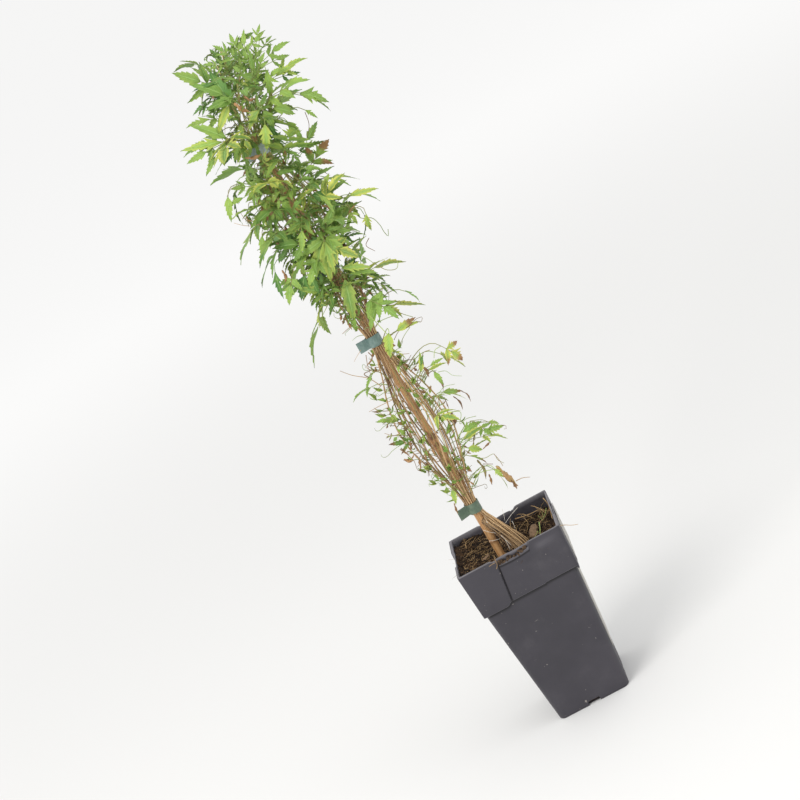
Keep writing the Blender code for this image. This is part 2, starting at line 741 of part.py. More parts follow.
def build_cane(parts, finish):
    """Bamboo: a turned profile with a raised ring at each joint, drawn in at its cut ends."""
    profile = [(0, CANE_TOP), (CANE_RADIUS * 0.86, CANE_TOP)]
    for joint in reversed(CANE_JOINTS):
        profile.append((CANE_RADIUS * CANE_SHARE, joint + CANE_JOINT_HALF))
        profile.append((CANE_RADIUS, joint))
        profile.append((CANE_RADIUS * CANE_SHARE, joint - CANE_JOINT_HALF))
    profile += [(CANE_RADIUS * 0.92, CANE_BOTTOM), (0, CANE_BOTTOM)]
    bm = bmesh.new()
    verts = [bm.verts.new((x, 0, z)) for x, z in profile]
    for first, second in zip(verts, verts[1:]):
        bm.edges.new((first, second))
    cane = from_bmesh("cane", bm, parts, finish)
    turn = cane.modifiers.new("Screw", "SCREW")
    turn.steps = CANE_SIDES
    turn.render_steps = CANE_SIDES
    turn.use_merge_vertices = True
    turn.merge_threshold = 0.01 * MM
    cane = baked(cane, parts, finish)
    shear_to_cane(cane)
    return cane


def build_tie(number, parts, finish):
    """A tape band round the cane and stems, with its end folded out flat."""
    centre = cane_axis(TIE_HEIGHTS[number])
    inner = RING_RADIUS + STEM_RADIUS_FOOT + STEM_CLEAR
    outer = inner + TIE_THICKNESS
    half = TIE_BAND / 2
    bm = bmesh.new()
    corners = [(outer, half), (outer, -half), (inner, -half), (inner, half)]
    verts = [bm.verts.new((x, 0, z)) for x, z in corners]
    for index, vert in enumerate(verts):
        bm.edges.new((vert, verts[(index + 1) % 4]))
    tie = from_bmesh(f"tie_{number + 1}", bm, parts, finish)
    turn = tie.modifiers.new("Screw", "SCREW")
    turn.steps = TIE_SIDES
    turn.render_steps = TIE_SIDES
    turn.use_merge_vertices = True
    turn.merge_threshold = 0.01 * MM
    tie = baked(tie, parts, finish)
    flags = new_collection(f"tie_flag_{number}")
    flag_half = half - FLAG_INSET
    flag = block("flag", (inner + 0.3 * TIE_THICKNESS, -FLAG_HALF_THICKNESS, -flag_half),
                 (inner + TIE_FLAG, FLAG_HALF_THICKNESS, flag_half), flags)
    flag.data.transform(Matrix.Rotation(math.radians(TIE_FLAG_TURN[number]), 4, "Z"))
    boolean(tie, "UNION", flags)
    tie = baked(tie, parts, finish)
    emptied(flags)
    tie.location = Vector(centre)
    return tie


def tube(name, points, radii, collection):
    """A thin tapering tube along points, four-sided, with welded caps."""
    curve = bpy.data.curves.new(name, "CURVE")
    curve.dimensions = "3D"
    curve.bevel_depth = 1.0
    curve.bevel_resolution = 0
    curve.use_fill_caps = True
    spline = curve.splines.new("POLY")
    spline.points.add(len(points) - 1)
    for target, point, radius in zip(spline.points, points, radii):
        target.co = (*point, 1.0)
        target.radius = radius
    made = bpy.data.objects.new(name, curve)
    collection.objects.link(made)
    bpy.context.view_layer.update()
    return baked(made, collection)


def draw_out_stalk(bm, leaf):
    """Extrudes the end face at the leaf's base back along its stalk, into the stem."""
    points = stalk_points(leaf)[::-1]
    across = np.cross(leaf["normal"], leaf["direction"])
    end = min(bm.faces, key=lambda f: (f.calc_center_median() - Vector(points[0])).length)
    signs = []
    for vert in end.verts:
        offset = np.array(vert.co) - points[0]
        signs.append((math.copysign(1, offset @ across), math.copysign(1, offset @ leaf["normal"])))
    for index in range(1, len(points)):
        tangent = unit(points[index - 1] - points[min(index + 1, len(points) - 1)])
        side = across - tangent * (across @ tangent)
        if np.linalg.norm(side) < 0.3:
            side = leaf["normal"] - tangent * (leaf["normal"] @ tangent)
        side = unit(side)
        up = np.cross(tangent, side)
        grown = bmesh.ops.extrude_face_region(bm, geom=[end])["geom"]
        bmesh.ops.delete(bm, geom=[end], context="FACES_ONLY")
        end = next(g for g in grown if isinstance(g, bmesh.types.BMFace))
        for vert, (sideways, upwards) in zip(end.verts, signs):
            vert.co = points[index] + (side * sideways + up * upwards) * STALK_RADIUS


def blade(name, leaf, collection):
    """A leaf: its outline filled, arched, given its thickness straight down, and its stalk.

    Both faces are split alike, because the lower one is the upper one moved.
    """
    bm = bmesh.new()
    shape = leaf_shape(leaf["pairs"], leaf["length"], leaf["width"])
    face = bm.faces.new([bm.verts.new((x, y, 0)) for x, y in shape])
    bmesh.ops.triangulate(bm, faces=[face], ngon_method="BEAUTY")
    for vert in bm.verts:
        vert.co.z = leaf_arch(vert.co.x, vert.co.y, leaf["length"])
    grown = bmesh.ops.extrude_face_region(bm, geom=list(bm.faces))
    moved = [v for v in grown["geom"] if isinstance(v, bmesh.types.BMVert)]
    bmesh.ops.translate(bm, verts=moved, vec=(0, 0, -BLADE_THICKNESS))
    bmesh.ops.recalc_face_normals(bm, faces=bm.faces)
    along = leaf["direction"]
    normal = leaf["normal"]
    across = np.cross(normal, along)
    place = Matrix([[along[i], across[i], normal[i], leaf["base"][i]] for i in range(3)]
                   + [[0, 0, 0, 1]])
    bm.transform(place)
    draw_out_stalk(bm, leaf)
    return from_bmesh(name, bm, collection)


def build_stem(number, leaves, parts, finish):
    """A leafy stem: stem, stalks and blades fused in one union."""
    name = f"stem_{number + 1:02d}"
    line = STEM_LINES[number]
    stem = tube(name, line, [stem_radius(z) for z in line[:, 2]], parts)
    stem.data.materials.append(finish)
    sprays = new_collection(f"{name}_leaves")
    for index, leaf in enumerate(leaves):
        blade(f"{name}_leaf_{index}", leaf, sprays)
    if leaves:
        boolean(stem, "UNION", sprays)
        stem = baked(stem, parts, finish)
        emptied(sprays)
    return stem


def main():
    clear_scene()
    parts = new_collection("potted_climber")
    cutters = new_collection("pot_cutters")
    holes = new_collection("soil_cutters")
    dark_plastic = material("pot_plastic", (0.075, 0.072, 0.085), 0.55)
    build_pot(parts, cutters, dark_plastic)
    build_label(parts, material("bare_label", (0.62, 0.60, 0.56), 0.5))
    build_soil(parts, holes, material("potting_mix", (0.055, 0.035, 0.022), 0.9))
    build_cane(parts, material("bamboo", (0.45, 0.24, 0.10), 0.5))
    tape = material("tie_tape", (0.10, 0.17, 0.12), 0.45)
    for number in range(len(TIE_HEIGHTS)):
        build_tie(number, parts, tape)
    leaves = plan_leaves()
    for number in range(STEM_COUNT):
        own = [leaf for leaf in leaves if leaf["stem"] == number]
        shade = 0.8 + 0.4 * (number % 3) / 2
        green = material(f"leafy_stem_{number + 1:02d}", (0.13 * shade, 0.27 * shade, 0.06), 0.55)
        build_stem(number, own, parts, green)


main()
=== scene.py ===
"""A potted climbing plant on a bamboo cane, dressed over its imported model.

Metres, +Z up. The origin is the centre of the pot's base and the pot's front faces -Y. The
growth rule below is the part's own, so each fine stem and leaf lies where its solid does.
"""
import math
import random

import bpy
import numpy as np
from mathutils import Matrix, Vector


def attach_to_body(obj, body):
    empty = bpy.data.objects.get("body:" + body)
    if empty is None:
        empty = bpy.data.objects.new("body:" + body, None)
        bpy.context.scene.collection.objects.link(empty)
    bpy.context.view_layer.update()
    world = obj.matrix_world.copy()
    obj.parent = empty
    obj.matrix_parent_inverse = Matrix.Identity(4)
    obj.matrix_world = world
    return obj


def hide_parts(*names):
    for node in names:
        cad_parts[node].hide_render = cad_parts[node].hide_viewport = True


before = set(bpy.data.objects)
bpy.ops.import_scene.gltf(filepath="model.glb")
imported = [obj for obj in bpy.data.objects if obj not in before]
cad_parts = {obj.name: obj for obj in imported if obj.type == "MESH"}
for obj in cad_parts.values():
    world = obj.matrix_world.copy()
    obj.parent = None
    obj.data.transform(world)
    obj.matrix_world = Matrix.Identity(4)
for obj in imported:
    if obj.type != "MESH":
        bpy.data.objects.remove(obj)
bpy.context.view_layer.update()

MM = 0.001
GAP = 0.3 * MM

# Pot: a square taper with a deep collar
POT_HEIGHT = 237 * MM
RIM_WIDTH = 140 * MM
BASE_WIDTH = 97 * MM
BODY_TOP_WIDTH = 137 * MM
COLLAR_BOTTOM_WIDTH = 133.5 * MM
COLLAR_HEIGHT = 60 * MM
WALL = 2 * MM
FLOOR_THICKNESS = 3 * MM
POT_CORNER = 9 * MM
PANEL_RIGHT = 22 * MM
PANEL_RECESS = 1.2 * MM
NOTCH_WIDTH = 16 * MM
NOTCH_HEIGHT = 5 * MM
DRAIN_RADIUS = 5 * MM
DRAIN_RING = 30 * MM
BASE_ROUND = 1.6 * MM
BODY_BOW = 0.7 * MM
BODY_BOW_REACH = 30 * MM

# Collar as seen: its left flap hangs lower and has a slanted edge with a rounded corner
COLLAR_CORNER = 4.5 * MM
FLAP_BOTTOM = 174.2 * MM
FLAP_CORNER = 8 * MM
FLAP_TOP_EDGE = -17.5 * MM
FLAP_LOW_EDGE = -26 * MM
FLAP_SAG = 8.5 * MM
FLAP_SAG_REACH = 10 * MM
FLAP_STAND = 0.3 * MM
GROOVE_DEPTH = 0.9 * MM
GROOVE_WIDTH = 0.5 * MM
FACE_BOTTOM = 177.5 * MM
FACE_RIGHT_BOTTOM = 178.6 * MM
FACE_RIGHT_RECESS = 0.8 * MM
SEAM_DEPTH = 0.35 * MM
EDGE_SOFTNESS = 0.5 * MM
UNDERCUT = 4 * MM

# Rim between the faces: the outer skin is cut down in an arc and has a slot behind it
SCOOP_LEFT = 7.2 * MM
SCOOP_RIGHT = 5.6 * MM
SCOOP_ARC = 1.6 * MM
SCOOP_END = 27 * MM
RIM_EDGE = 0.32 * MM
RIM_SKIN = 0.75 * MM
RIM_ROLL = 1.1 * MM
RIM_SLOT_DEPTH = 3 * MM
WORN_CORNER = (38 * MM, 226 * MM)

# Columns across a side of the pot, and the rows of its wall in mm: turns round the base's edge,
# drops under the collar with their painted shade, the collar's lip as (rise, set back, painted
# highlight, painted shade), drops under the rim and shares of the way down inside
POT_COLUMNS = np.unique(np.round(np.concatenate([
    (-38.5, -36.8), np.arange(-35, -14, 0.45), np.linspace(-13, 18, 15),
    np.arange(19.5, 24.6, 0.45), np.linspace(26, 38.5, 6),
    (-8.9, -8.4, -7.9, -7.4, 7.4, 7.9, 8.4, 8.9),
]), 3)) * MM
CORNER_STEPS = 9
BASE_TURNS = (0, 0.35, 0.7, 1)
# Painted shade under the collar: drops in mm and how dark each is painted
SHADED_DROPS = ((5.6, 0.1), (4.4, 0.35), (3.5, 0.8), (2.5, 1), (0.5, 1))
COLLAR_LIP = ((0.5, 0.8, 0, 1), (0, 0.6, 0, 0.8), (0, 0.25, 0.5, 0), (0.3, 0, 0.6, 0))
RIM_DROPS = (6.4, 5.8, 5.2, 4.6, 4.1, 3.7, 3.3, 2.8, 2.2, 1.6, 0.9)
INSIDE_SHARES = (0.02, 0.1, 0.3, 0.6, 1)
QUARTER_TURNS = ((1, 0), (0, 1), (-1, 0), (0, -1))

# Bare label on the right side: down the collar, over its edge and down the body
LABEL_WIDTH = 84 * MM
LABEL_TOP = 228 * MM
LABEL_BOTTOM = 52 * MM
LABEL_CORNER = 5 * MM
LABEL_FILM = 0.3 * MM
LABEL_RIPPLE = 0.12 * MM
LABEL_HEIGHTS = np.unique(np.concatenate([
    LABEL_BOTTOM + np.array([0, 0.3, 1, 2, 3.5, 6]) * MM, np.linspace(60, 162, 18) * MM,
    np.arange(164, 184, 1.0) * MM, np.linspace(186, 224, 12) * MM,
    LABEL_TOP - np.array([3, 1.6, 0.7, 0.2, 0]) * MM]))
LABEL_COLUMNS = 31

# Potting mix: its waves, and how much its edge is banked up at shares across the pot, in mm
SOIL_TOP = 214 * MM
SOIL_RELIEF = 2.6 * MM
SOIL_WAVES = (210, 160, 330)
SOIL_BANKS = ((-1.0, -0.5, 0.0, 0.3, 0.7, 1.0), (21, 15.5, 9.6, 6, 2.5, 7))
SOIL_SIDES = 300
SOIL_RINGS = 61
SOIL_SQUARENESS = 9.0
# Its lumps and crumbs: relief, seed, shortest and longest wave, count
LUMPS = (1.1 * MM, 3, 9 * MM, 22 * MM, 14)
CRUMBS = (0.75 * MM, 4, 2.6 * MM, 6 * MM, 30)

# What lies in it: how many crumbs and fibres, their sizes in mm, and the slots they take
RIM_CRUMBS = 46
TOP_CRUMBS = 520
TOP_FIBRES = 900
CRUMB_SIZES = (1.2, 1.8, 2.4, 3.4)
RIM_CRUMB_SIZES = (2.2, 4.2)
FIBRE_LENGTHS = (5, 20)
FIBRE_RADII = (0.14, 0.36)
SPROUT_LENGTHS = (7, 14)
CLOD_ROUGH = (0.75, 1.25)
CHIP_ROUGH = (0.72, 1.2)
FLATTER = 0.6
MIX_SEED = 31
MIX_CRUMB = 1
MIX_FIBRE = 2
MIX_ROOT = 3
MIX_SPROUT = 4
# Bark chips: place, length and width in mm, turn
BARK_CHIPS = (((35, 9), 21, 14, 1.25), ((-34, 8), 12, 6, 0.4), ((12, 40), 10, 6, 2.2))
CHIP_GIRTH = np.array([0.75, 0.85, 1.0, 0.85, 1.0, 0.7, 0.55])
# Roots, straws and blades that stand out: spots, how far forward each is in mm, slot, radius, tone
SEEN_ON_SOIL = (
    (((501, 535.5), (506, 540), (511.5, 545.5)), (32, 32, 32), MIX_ROOT, 0.30, 1),
    (((505.5, 540), (508, 545), (510.5, 550.5)), (32, 33, 34), MIX_ROOT, 0.28, 1),
    (((483, 530), (489, 532), (496, 533)), (20, 22, 24), MIX_ROOT, 0.26, 0.6),
    (((489, 541), (494, 540.5), (500, 538.5)), (24, 24, 24), MIX_ROOT, 0.28, 1),
    (((502, 508.5), (503.5, 514), (505, 521)), (24, 24, 24), MIX_ROOT, 0.22, 0.6),
    (((517.5, 507.5), (511, 515), (505.5, 523)), (24, 24, 24), MIX_ROOT, 0.28, 0.8),
    (((512, 521), (514, 525), (515, 529)), (20, 20, 20), MIX_ROOT, 0.28, 0.8),
    (((487, 540), (486, 528), (484, 522)), (12, 12, 12), MIX_FIBRE, 0.4, 0.4),
    (((556, 527), (563, 525), (571, 525.2), (578, 524.3)), (50, 50, 50, 50), MIX_FIBRE, 0.42, 0.95),
    (((543, 498), (547, 502), (553, 507)), (-34, -32, -30), MIX_FIBRE, 0.55, 0.8),
    (((545, 500), (550, 507), (552, 517), (557, 527)), (-30, -28, -10, 20), MIX_FIBRE, 0.6, 0.7),
    (((549, 505), (551, 514), (554, 522), (559, 526)), (-30, -20, -4, 20), MIX_FIBRE, 0.6, 0.5),
    (((551, 506), (554, 512), (557, 519)), (-20, -10, 10), MIX_FIBRE, 0.6, 0.6),
    (((541, 509), (547, 511), (552, 510)), (-30, -28, -26), MIX_FIBRE, 0.35, 1),
    (((540, 522), (545, 517), (549, 508), (548, 503)), (0, -10, -20, -26), MIX_FIBRE, 0.5, 0.6),
    (((546, 508), (545.5, 513), (543, 518)), (-16, -12, -8), MIX_SPROUT, 0.6, 0.7),
    (((539, 522), (540, 528), (540, 536)), (30, 36, 44), MIX_SPROUT, 0.6, 0.8),
    (((538, 531), (536, 535), (534, 538)), (44, 44, 44), MIX_SPROUT, 0.5, 0.6),
    (((515, 519), (522, 517), (530, 514), (538, 510)), (-30, -30, -30, -30), MIX_FIBRE, 0.9, 0.45),
    (((496.5, 569), (497.3, 565), (495.5, 561), (494, 557)), (73, 73, 72, 68), MIX_FIBRE, 0.45, 0.4),
    (((489, 566.5), (492, 564.5), (496, 562.5)), (71, 72, 72), MIX_FIBRE, 0.35, 0.5),
)
# Straws: place in mm, turn, length in mm, rise
STRAWS = (
    (52, 44, 1.9, 34, 0.7), (58, 38, 2.3, 26, 0.8), (48, 52, 0.8, 24, 0.6),
    (40, 54, 2.6, 28, 0.5), (34, -46, 0.6, 24, 0.25), (-52, 44, 0.9, 22, 0.3), (24, 30, 1.4, 30, 0.9),
    (8, 36, 1.2, 26, 1.3), (-56, -20, 2.8, 16, 0.3), (-24, -52, 3.3, 20, 0.3),
)
SPROUTS = ((50, 30), (44, -44))

# Cane: leans a little to the left
CANE_RADIUS = 5.2 * MM
CANE_BOTTOM = 40 * MM
CANE_TOP = 815 * MM
CANE_FOOT = (-13.5 * MM, -3 * MM)
CANE_FOOT_HEIGHT = 220 * MM
CANE_LEAN = -0.011
CANE_JOINTS = np.array((64, 236, 392, 540, 676, 794)) * MM
CANE_SHARE = 0.92
CANE_ROWS = 120
CANE_SIDES = 28
# Forms at each joint: share of the radius, offset and width in mm
JOINT_FORMS = ((0.075, 0, 1.0), (-0.05, 2.4, 1.1), (0.035, 0, 9))
# The hollow top: shares of the radius and depth
CANE_END = ((0.9, 0), (0.5, 0), (0.45, 5 * MM))

# Ties: green tape bands with a folded end at the left
TIE_HEIGHTS = (287 * MM, 531 * MM, 636 * MM, 797 * MM)
TIE_BAND = 13.5 * MM
TIE_FLAG = 13 * MM
TIE_FLAG_TURN = (205, 190, 200, 215)
TAPE_HALF_THICKNESS = 0.22 * MM
TAPE_SECTION = ((1, -1), (1.4, 0), (1, 1), (-1, 1), (-0.6, 0), (-1, -1))
TAPE_RIMS = np.array((1, 0, 2, 3, 0, 4))
FLAG_ROWS = 7
FLAG_HALF_GAP = 0.3 * MM
FLAG_CURL = 3 * MM
TAPE_SEED = 41
TAPE_COLOURS = (
    ("tape_dark_green", (0.075, 0.120, 0.080), (0.150, 0.205, 0.140)),
    ("tape_grey_green", (0.105, 0.175, 0.160), (0.200, 0.280, 0.260)),
    ("tape_deep_green", (0.025, 0.050, 0.042), (0.060, 0.095, 0.080)),
    # Its colours are partly the tape's own and partly painted light, paler to brighten it in the shade
    # it sits in
    ("tape_silver_green", (0.30, 0.37, 0.35), (0.46, 0.54, 0.51)),
)

# Stems: they leave the crown in a fan, are tied in a ring against the cane and bow between ties
STEM_COUNT = 16
STEM_SEED = 11
STEM_RADIUS_FOOT = 1.1 * MM
STEM_RADIUS_TIP = 0.75 * MM
STEM_ROOT = 30 * MM
STEM_CLEAR = 0.4 * MM
RING_RADIUS = CANE_RADIUS + STEM_CLEAR + STEM_RADIUS_FOOT + 0.45 * MM
TIE_MARGIN = 2 * MM
STEM_BOWS = ((8, 28), (3, 10), (6, 24))
BOW_EASE = 1.5
SWAY_TURN = 9
WOBBLE_SHARE = 0.4
FAN_POWER = 1.2
STEM_TOPS = (848, 918)
SHORT_TOPS = (826, 850)
SHORT_EVERY = 4
TOP_SPREAD = (14, 46)
SPREAD_EASE = 1.3
LOW_RINGS = (3, 16, 31, 48, 64, 82)
RING_START = 320 * MM
RING_STEP = 34 * MM
RING_GAP = 11.9 * MM
RING_AT_TIE = 9 * MM
CROWN_OFFSET = (28.5 * MM, -14 * MM)
CROWN_ROWS = (-4.6 * MM, 0, 4.6 * MM)
CROWN_SPREAD = 0.092
STEM_TWIST = math.radians(250)
STEM_WOBBLE = math.radians(7)
TIP_DRIFT = 34 * MM
TIP_REACH = 918 * MM
DRIFT_EASE = 1.6

# Stems as seen: a wider crown, straighter feet, joints, and thin stems between the thick ones.
# Radii are in mm, and tops and spans in m
PATH_STEP = 4 * MM
CROWN_WIDER = 1.4
FOOT_LEAN = 1.22
FOOT_THINNER = 0.74
JOINT_STEP = 42 * MM
JOINT_WIDTH = 0.05
JOINT_SWELL = 0.45
STEM_SHARE = 0.92
BEHIND_CANE = 12 * MM
BEHIND_AT = 0.86
BEHIND_WIDTH = 0.11
STEM_SIDES = 7
# Stem darkness: dark stems are partly their own bark and partly painted shade for the gaps in the
# bundle
STEM_TONES_WITH_SHADE = (0, 0.1, 0.3, 0.6, 0.9)
THIN_TONES_WITH_SHADE = (0, 0.1, 0.3, 0.85, 1)
THIN_GREENS = (0, 0, 0.5, 1.0)
THIN_SWAY = 2.6 * MM
THIN_RADII = (0.45, 0.75)
THIN_TOPS = (0.5, 0.86)
OVER_TOP = 1.2
FINE_SEED = 23
FOLIAGE_SPAN = (0.30, 0.89)

# Leaves
BLADE_THICKNESS = 0.95 * MM
STALK_STEPS = 3
STALK_BEND = 0.4
STALK_LIFT = 0.08
RIB_HALF_WIDTH = 1.0 * MM
LEAF_CLEAR = 5.2 * MM
STALK_CLEAR = 3.0 * MM
OTHER_STEM_CLEAR = STALK_CLEAR + 1.2 * MM
OWN_STEM_CLEAR = 2 * MM
CANE_CLEAR = 8.5 * MM
UNDER_LEAF_CLEAR = LEAF_CLEAR - 1.5 * MM
REACH = 12 * MM
LEAF_SEED = 5
FACE_OUT = 0.75
FACE_UP = 0.66
ARCH_ALONG = 0.20
ARCH_ACROSS = 0.32

# Half outline of a side leaflet as (along, across) shares: base, shoulder, tooth, notch, tip ...
SIDE_LEAFLET = ((0.00, 0.16), (0.24, 0.86), (0.52, 1.00), (0.57, 0.58), (1.00, 0.05), (0.52, -0.95),
                (0.00, -0.16))
END_LEAFLET = ((0.06, 0.34), (0.34, 1.00), (0.41, 0.64), (0.66, 0.74), (0.71, 0.42))

# By the number of pairs of side leaflets: the end leaflet's share of the leaf, its half width,
# and where the pairs stand on the rib
END_SHARE = (1.0, 0.62, 0.46, 0.36)
HALF_WIDTH = (0.165, 0.155, 0.135, 0.12)
PAIR_PLACES = ((), (0.55,), (0.30, 0.78), (0.18, 0.52, 0.86))
SIDE_REACH = 0.52
REACH_LESS = 0.12
SIDE_SLANT = 56
SLANT_LESS = 8
SIDE_WIDTH = 0.62
FINE_SIDE_WIDTH = 0.66
CROWDED_REACH = 0.62
LEAFLET_FOOT = 3

# Leaves placed where the plant shows them: (pairs, base, tip, width share), millimetres
PLACED_LEAVES = (
    (1, (-12, -34, 856), (-40, -40, 908), 1.15),
    (0, (-24, -36, 862), (-52, -40, 842), 1.0),
    (1, (44, -14, 836), (82, -18, 808), 1.0),
    (2, (-50, -10, 832), (-100, -14, 843), 0.9),
    (2, (-56, -24, 818), (-94, -30, 800), 0.9),
    (1, (-66, -4, 774), (-94, -8, 740), 1.0),
    (1, (14, -40, 712), (48, -46, 736), 1.1),
    (0, (43, -10, 701), (77, -12, 690), 1.0),
    (0, (37, -18, 686), (24, -24, 662), 1.1),
    (0, (47, -4, 671), (42, -6, 645), 1.1),
    (1, (-20, -44, 676), (-58, -50, 700), 1.2),
    (1, (-18, -46, 660), (-50, -54, 640), 1.2),
    (1, (-12, -46, 652), (-24, -58, 612), 1.2),
    (1, (-6, -44, 666), (22, -52, 640), 1.2),
    (0, (-8, -40, 620), (-26, -46, 570), 1.1),
    (0, (0, -32, 622), (30, -36, 612), 1.1),
    (0, (20, -10, 606), (34, -12, 590), 1.1),
    (1, (-56, -22, 652), (-74, -26, 614), 1.0),
    (0, (-46, -16, 640), (-50, -20, 612), 1.1),
    (0, (-28, -24, 604), (-50, -28, 592), 1.1),
    (0, (44, -6, 566), (58, -8, 550), 1.3),
    (0, (13, -24, 532), (42, -28, 534), 1.0),
    (0, (6, -32, 534), (-10, -36, 504), 1.2),
    (1, (38, -8, 484), (69, -10, 456), 1.1),
    (0, (14, -24, 474), (26, -28, 494), 1.1),
    (0, (24, -20, 470), (46, -24, 474), 1.0),
    (0, (29, -12, 460), (31, -16, 438), 1.1),
    (0, (24, -8, 432), (50, -12, 423), 0.9),
    (0, (20, -30, 376), (46, -36, 386), 1.1),
    (1, (34, -24, 368), (68, -30, 361), 1.1),
    (0, (16, -36, 356), (34, -40, 344), 1.1),
    (0, (30, -18, 324), (44, -22, 296), 0.9),
    (0, (-38, -2, 430), (-62, -4, 446), 1.0),
    (1, (-36, -10, 396), (-60, -14, 414), 1.0),
)
PLACED_TRIES = 60
PLACED_DROPS = (6, 9, 12, 15, 18, 21)
PLACED_SHIFT = 0.25 * MM
PLACED_ROLL = 25

# Leaves that follow a rule: lowest, highest and step of height and leaf length, in mm, and the
# numbers of pairs that are drawn from
RULE_BANDS = ((556, 902, 7.0, 64, (1, 1, 2)), (335, 545, 30, 36, (0, 1)))
RULE_TRIES = 40
RULE_ROLL = 30
RULE_LENGTHS = (0.75, 1.15)
RULE_WIDTHS = (0.9, 1.15)
RULE_STALKS = (6, 20)
TOP_PITCH = (5, 50)
LOW_PITCH = (-45, 30)
STEM_SOUGHT = 20 * MM
TOP_ZONE = 840 * MM
TOP_SHRINK = 0.75
FARTHEST_TIP = 98 * MM
HIGHEST_TIP = 928 * MM

# Fine leaflet outlines from base to tip: (along, half width, lead of the edge over its rib)
FINE_OUTLINE = (
    (0.00, 0.10, 0.00), (0.06, 0.30, 0.00), (0.18, 0.70, 0.00), (0.30, 1.00, 0.06),
    (0.37, 0.68, 0.00), (0.50, 0.84, 0.06), (0.56, 0.58, 0.00), (0.67, 0.62, 0.06),
    (0.73, 0.38, 0.00), (0.83, 0.32, 0.04), (0.90, 0.16, 0.00), (1.00, 0.02, 0.00),
)
LOBED_OUTLINE = (
    (0.00, 0.10, 0.00), (0.08, 0.28, 0.00), (0.20, 0.66, 0.02), (0.27, 1.30, 0.16),
    (0.36, 0.46, 0.00), (0.48, 0.92, 0.08), (0.55, 0.56, 0.00), (0.66, 0.64, 0.06),
    (0.73, 0.38, 0.00), (0.83, 0.30, 0.04), (0.90, 0.15, 0.00), (1.00, 0.02, 0.00),
)
PLAIN_OUTLINE = (
    (0.00, 0.10, 0.00), (0.15, 0.55, 0.00), (0.35, 1.00, 0.00), (0.55, 0.85, 0.02),
    (0.78, 0.45, 0.00), (1.00, 0.02, 0.00),
)
RING_ACROSS = np.array((1.0, 0.5, 0.0, -0.5, -1.0, 0.0))
RING_RISE = np.array((0.0, 0.7, 1.0, 0.7, 0.0, -1.0))
RING_RIM = np.array((1, 0, 0, 0, 2, 0))
LEAF_HALF_THICKNESS = 0.22 * MM
LEAFLET_FOLD = (0.15, 0.5)
LEAFLET_DROOP = (0.02, 0.22)
LEAFLET_WAVE = (0.05, 0.16)
LEAFLET_UNEVEN = 0.08
LOBED_SHARE = 0.35
WOOD = 0
STALK = 1
LEAF = 2

# Leaves are fresh and stems turn green above this height in m; below it more leaves are
# yellow or brown (shares low and high), and leaves are lighter away from the cane as painted
# light and darker near it as painted shade
FRESH_ABOVE = 0.55
GREENING = 0.3
YELLOW_SHARES = (0.4, 0.08)
BROWN_SHARES = (0.2, 0.015)
OUTWARD_PAINTED_LIGHT = 3.5

# Small leaves: from and to this height, how many, lengths, pairs of leaflets, longest stalk
FILL_BANDS = (
    (590, 700, 60, (26, 44), (0, 1, 1, 2), 26),
    (690, 800, 60, (26, 44), (0, 1, 1, 2), 26),
    (780, 880, 42, (22, 38), (0, 1, 2, 2), 26),
    (850, 912, 84, (12, 28), (0, 1, 2, 3, 3), 22),
    (575, 900, 170, (14, 27), (0, 1, 1, 2), 9),
    (325, 470, 40, (7, 15), (0, 0, 1), 9),
)
FILL_SHARE = 0.42
FILL_CELL = 5 * MM
FILL_TRIES = 12
FILL_ROLL = 40
FILL_WIDTHS = (0.75, 1.1)
FILL_TOP_PITCH = (0, 65)
FILL_PITCH = (-55, 45)
FILL_HIGHEST = 926 * MM
FILL_FARTHEST = 84 * MM
FILL_TOP_ZONE = 840
TIE_ROOM = 11 * MM
TIE_SKIPPED = 0.6

# Growth on the stems: from and to this height in mm, and what grows there; lengths in mm
WILD_BANDS = (
    (305, 400, ("sprout", "sprout", "dead", "twig", "tendril", "sprout")),
    (395, 500, ("sprout", "twig", "dead", "sprout", "tendril", "sprout", "twig")),
    (495, 620, ("twig", "dead", "sprout", "tendril", "twig", "sprout")),
    (600, 860, ("dead", "tendril", "dead", "sprout", "twig", "sprout", "sprout")),
)
TENDRIL_LENGTHS = (14, 34)
TENDRIL_COILS = (0, 0, 0.6, 1.1)
TWIG_LENGTHS = (8, 26)
DEAD_LENGTHS = (9, 22)
DEAD_RADII = (0.9, 2.1)
DEAD_ROUGH = (0.7, 1.25)
SHOOT_LENGTHS = (4, 13)
SHOOT_LEAFLETS = (2, 3, 3, 4, 5)
SHOOT_LEAF_LENGTHS = (6, 14)
SHOOT_LEAF_WIDTHS = (0.15, 0.24)

# Colours of the materials
LEAF_DEEP = (0.058, 0.18, 0.035)
LEAF_LIGHT = (0.32, 0.51, 0.095)
LEAF_YELLOW = (0.66, 0.66, 0.13)
VEIN_GREEN = (0.42, 0.60, 0.20)
RUST_DARK = (0.075, 0.035, 0.018)
RUST_LIGHT = (0.50, 0.28, 0.12)
STALK_DEEP = (0.16, 0.30, 0.06)
STALK_LIGHT = (0.42, 0.52, 0.16)
STALK_BROWN = (0.20, 0.11, 0.05)
BARK_TAN = (0.55, 0.37, 0.195)
BARK_DARK = (0.080, 0.042, 0.027)
BARK_GREEN = (0.45, 0.50, 0.14)
PLASTIC_DARK = (0.034, 0.0315, 0.040)
PLASTIC_LIGHT = (0.051, 0.047, 0.058)
PLASTIC_DUST = (0.19, 0.18, 0.19)
PLASTIC_SPECK = (0.42, 0.38, 0.34)
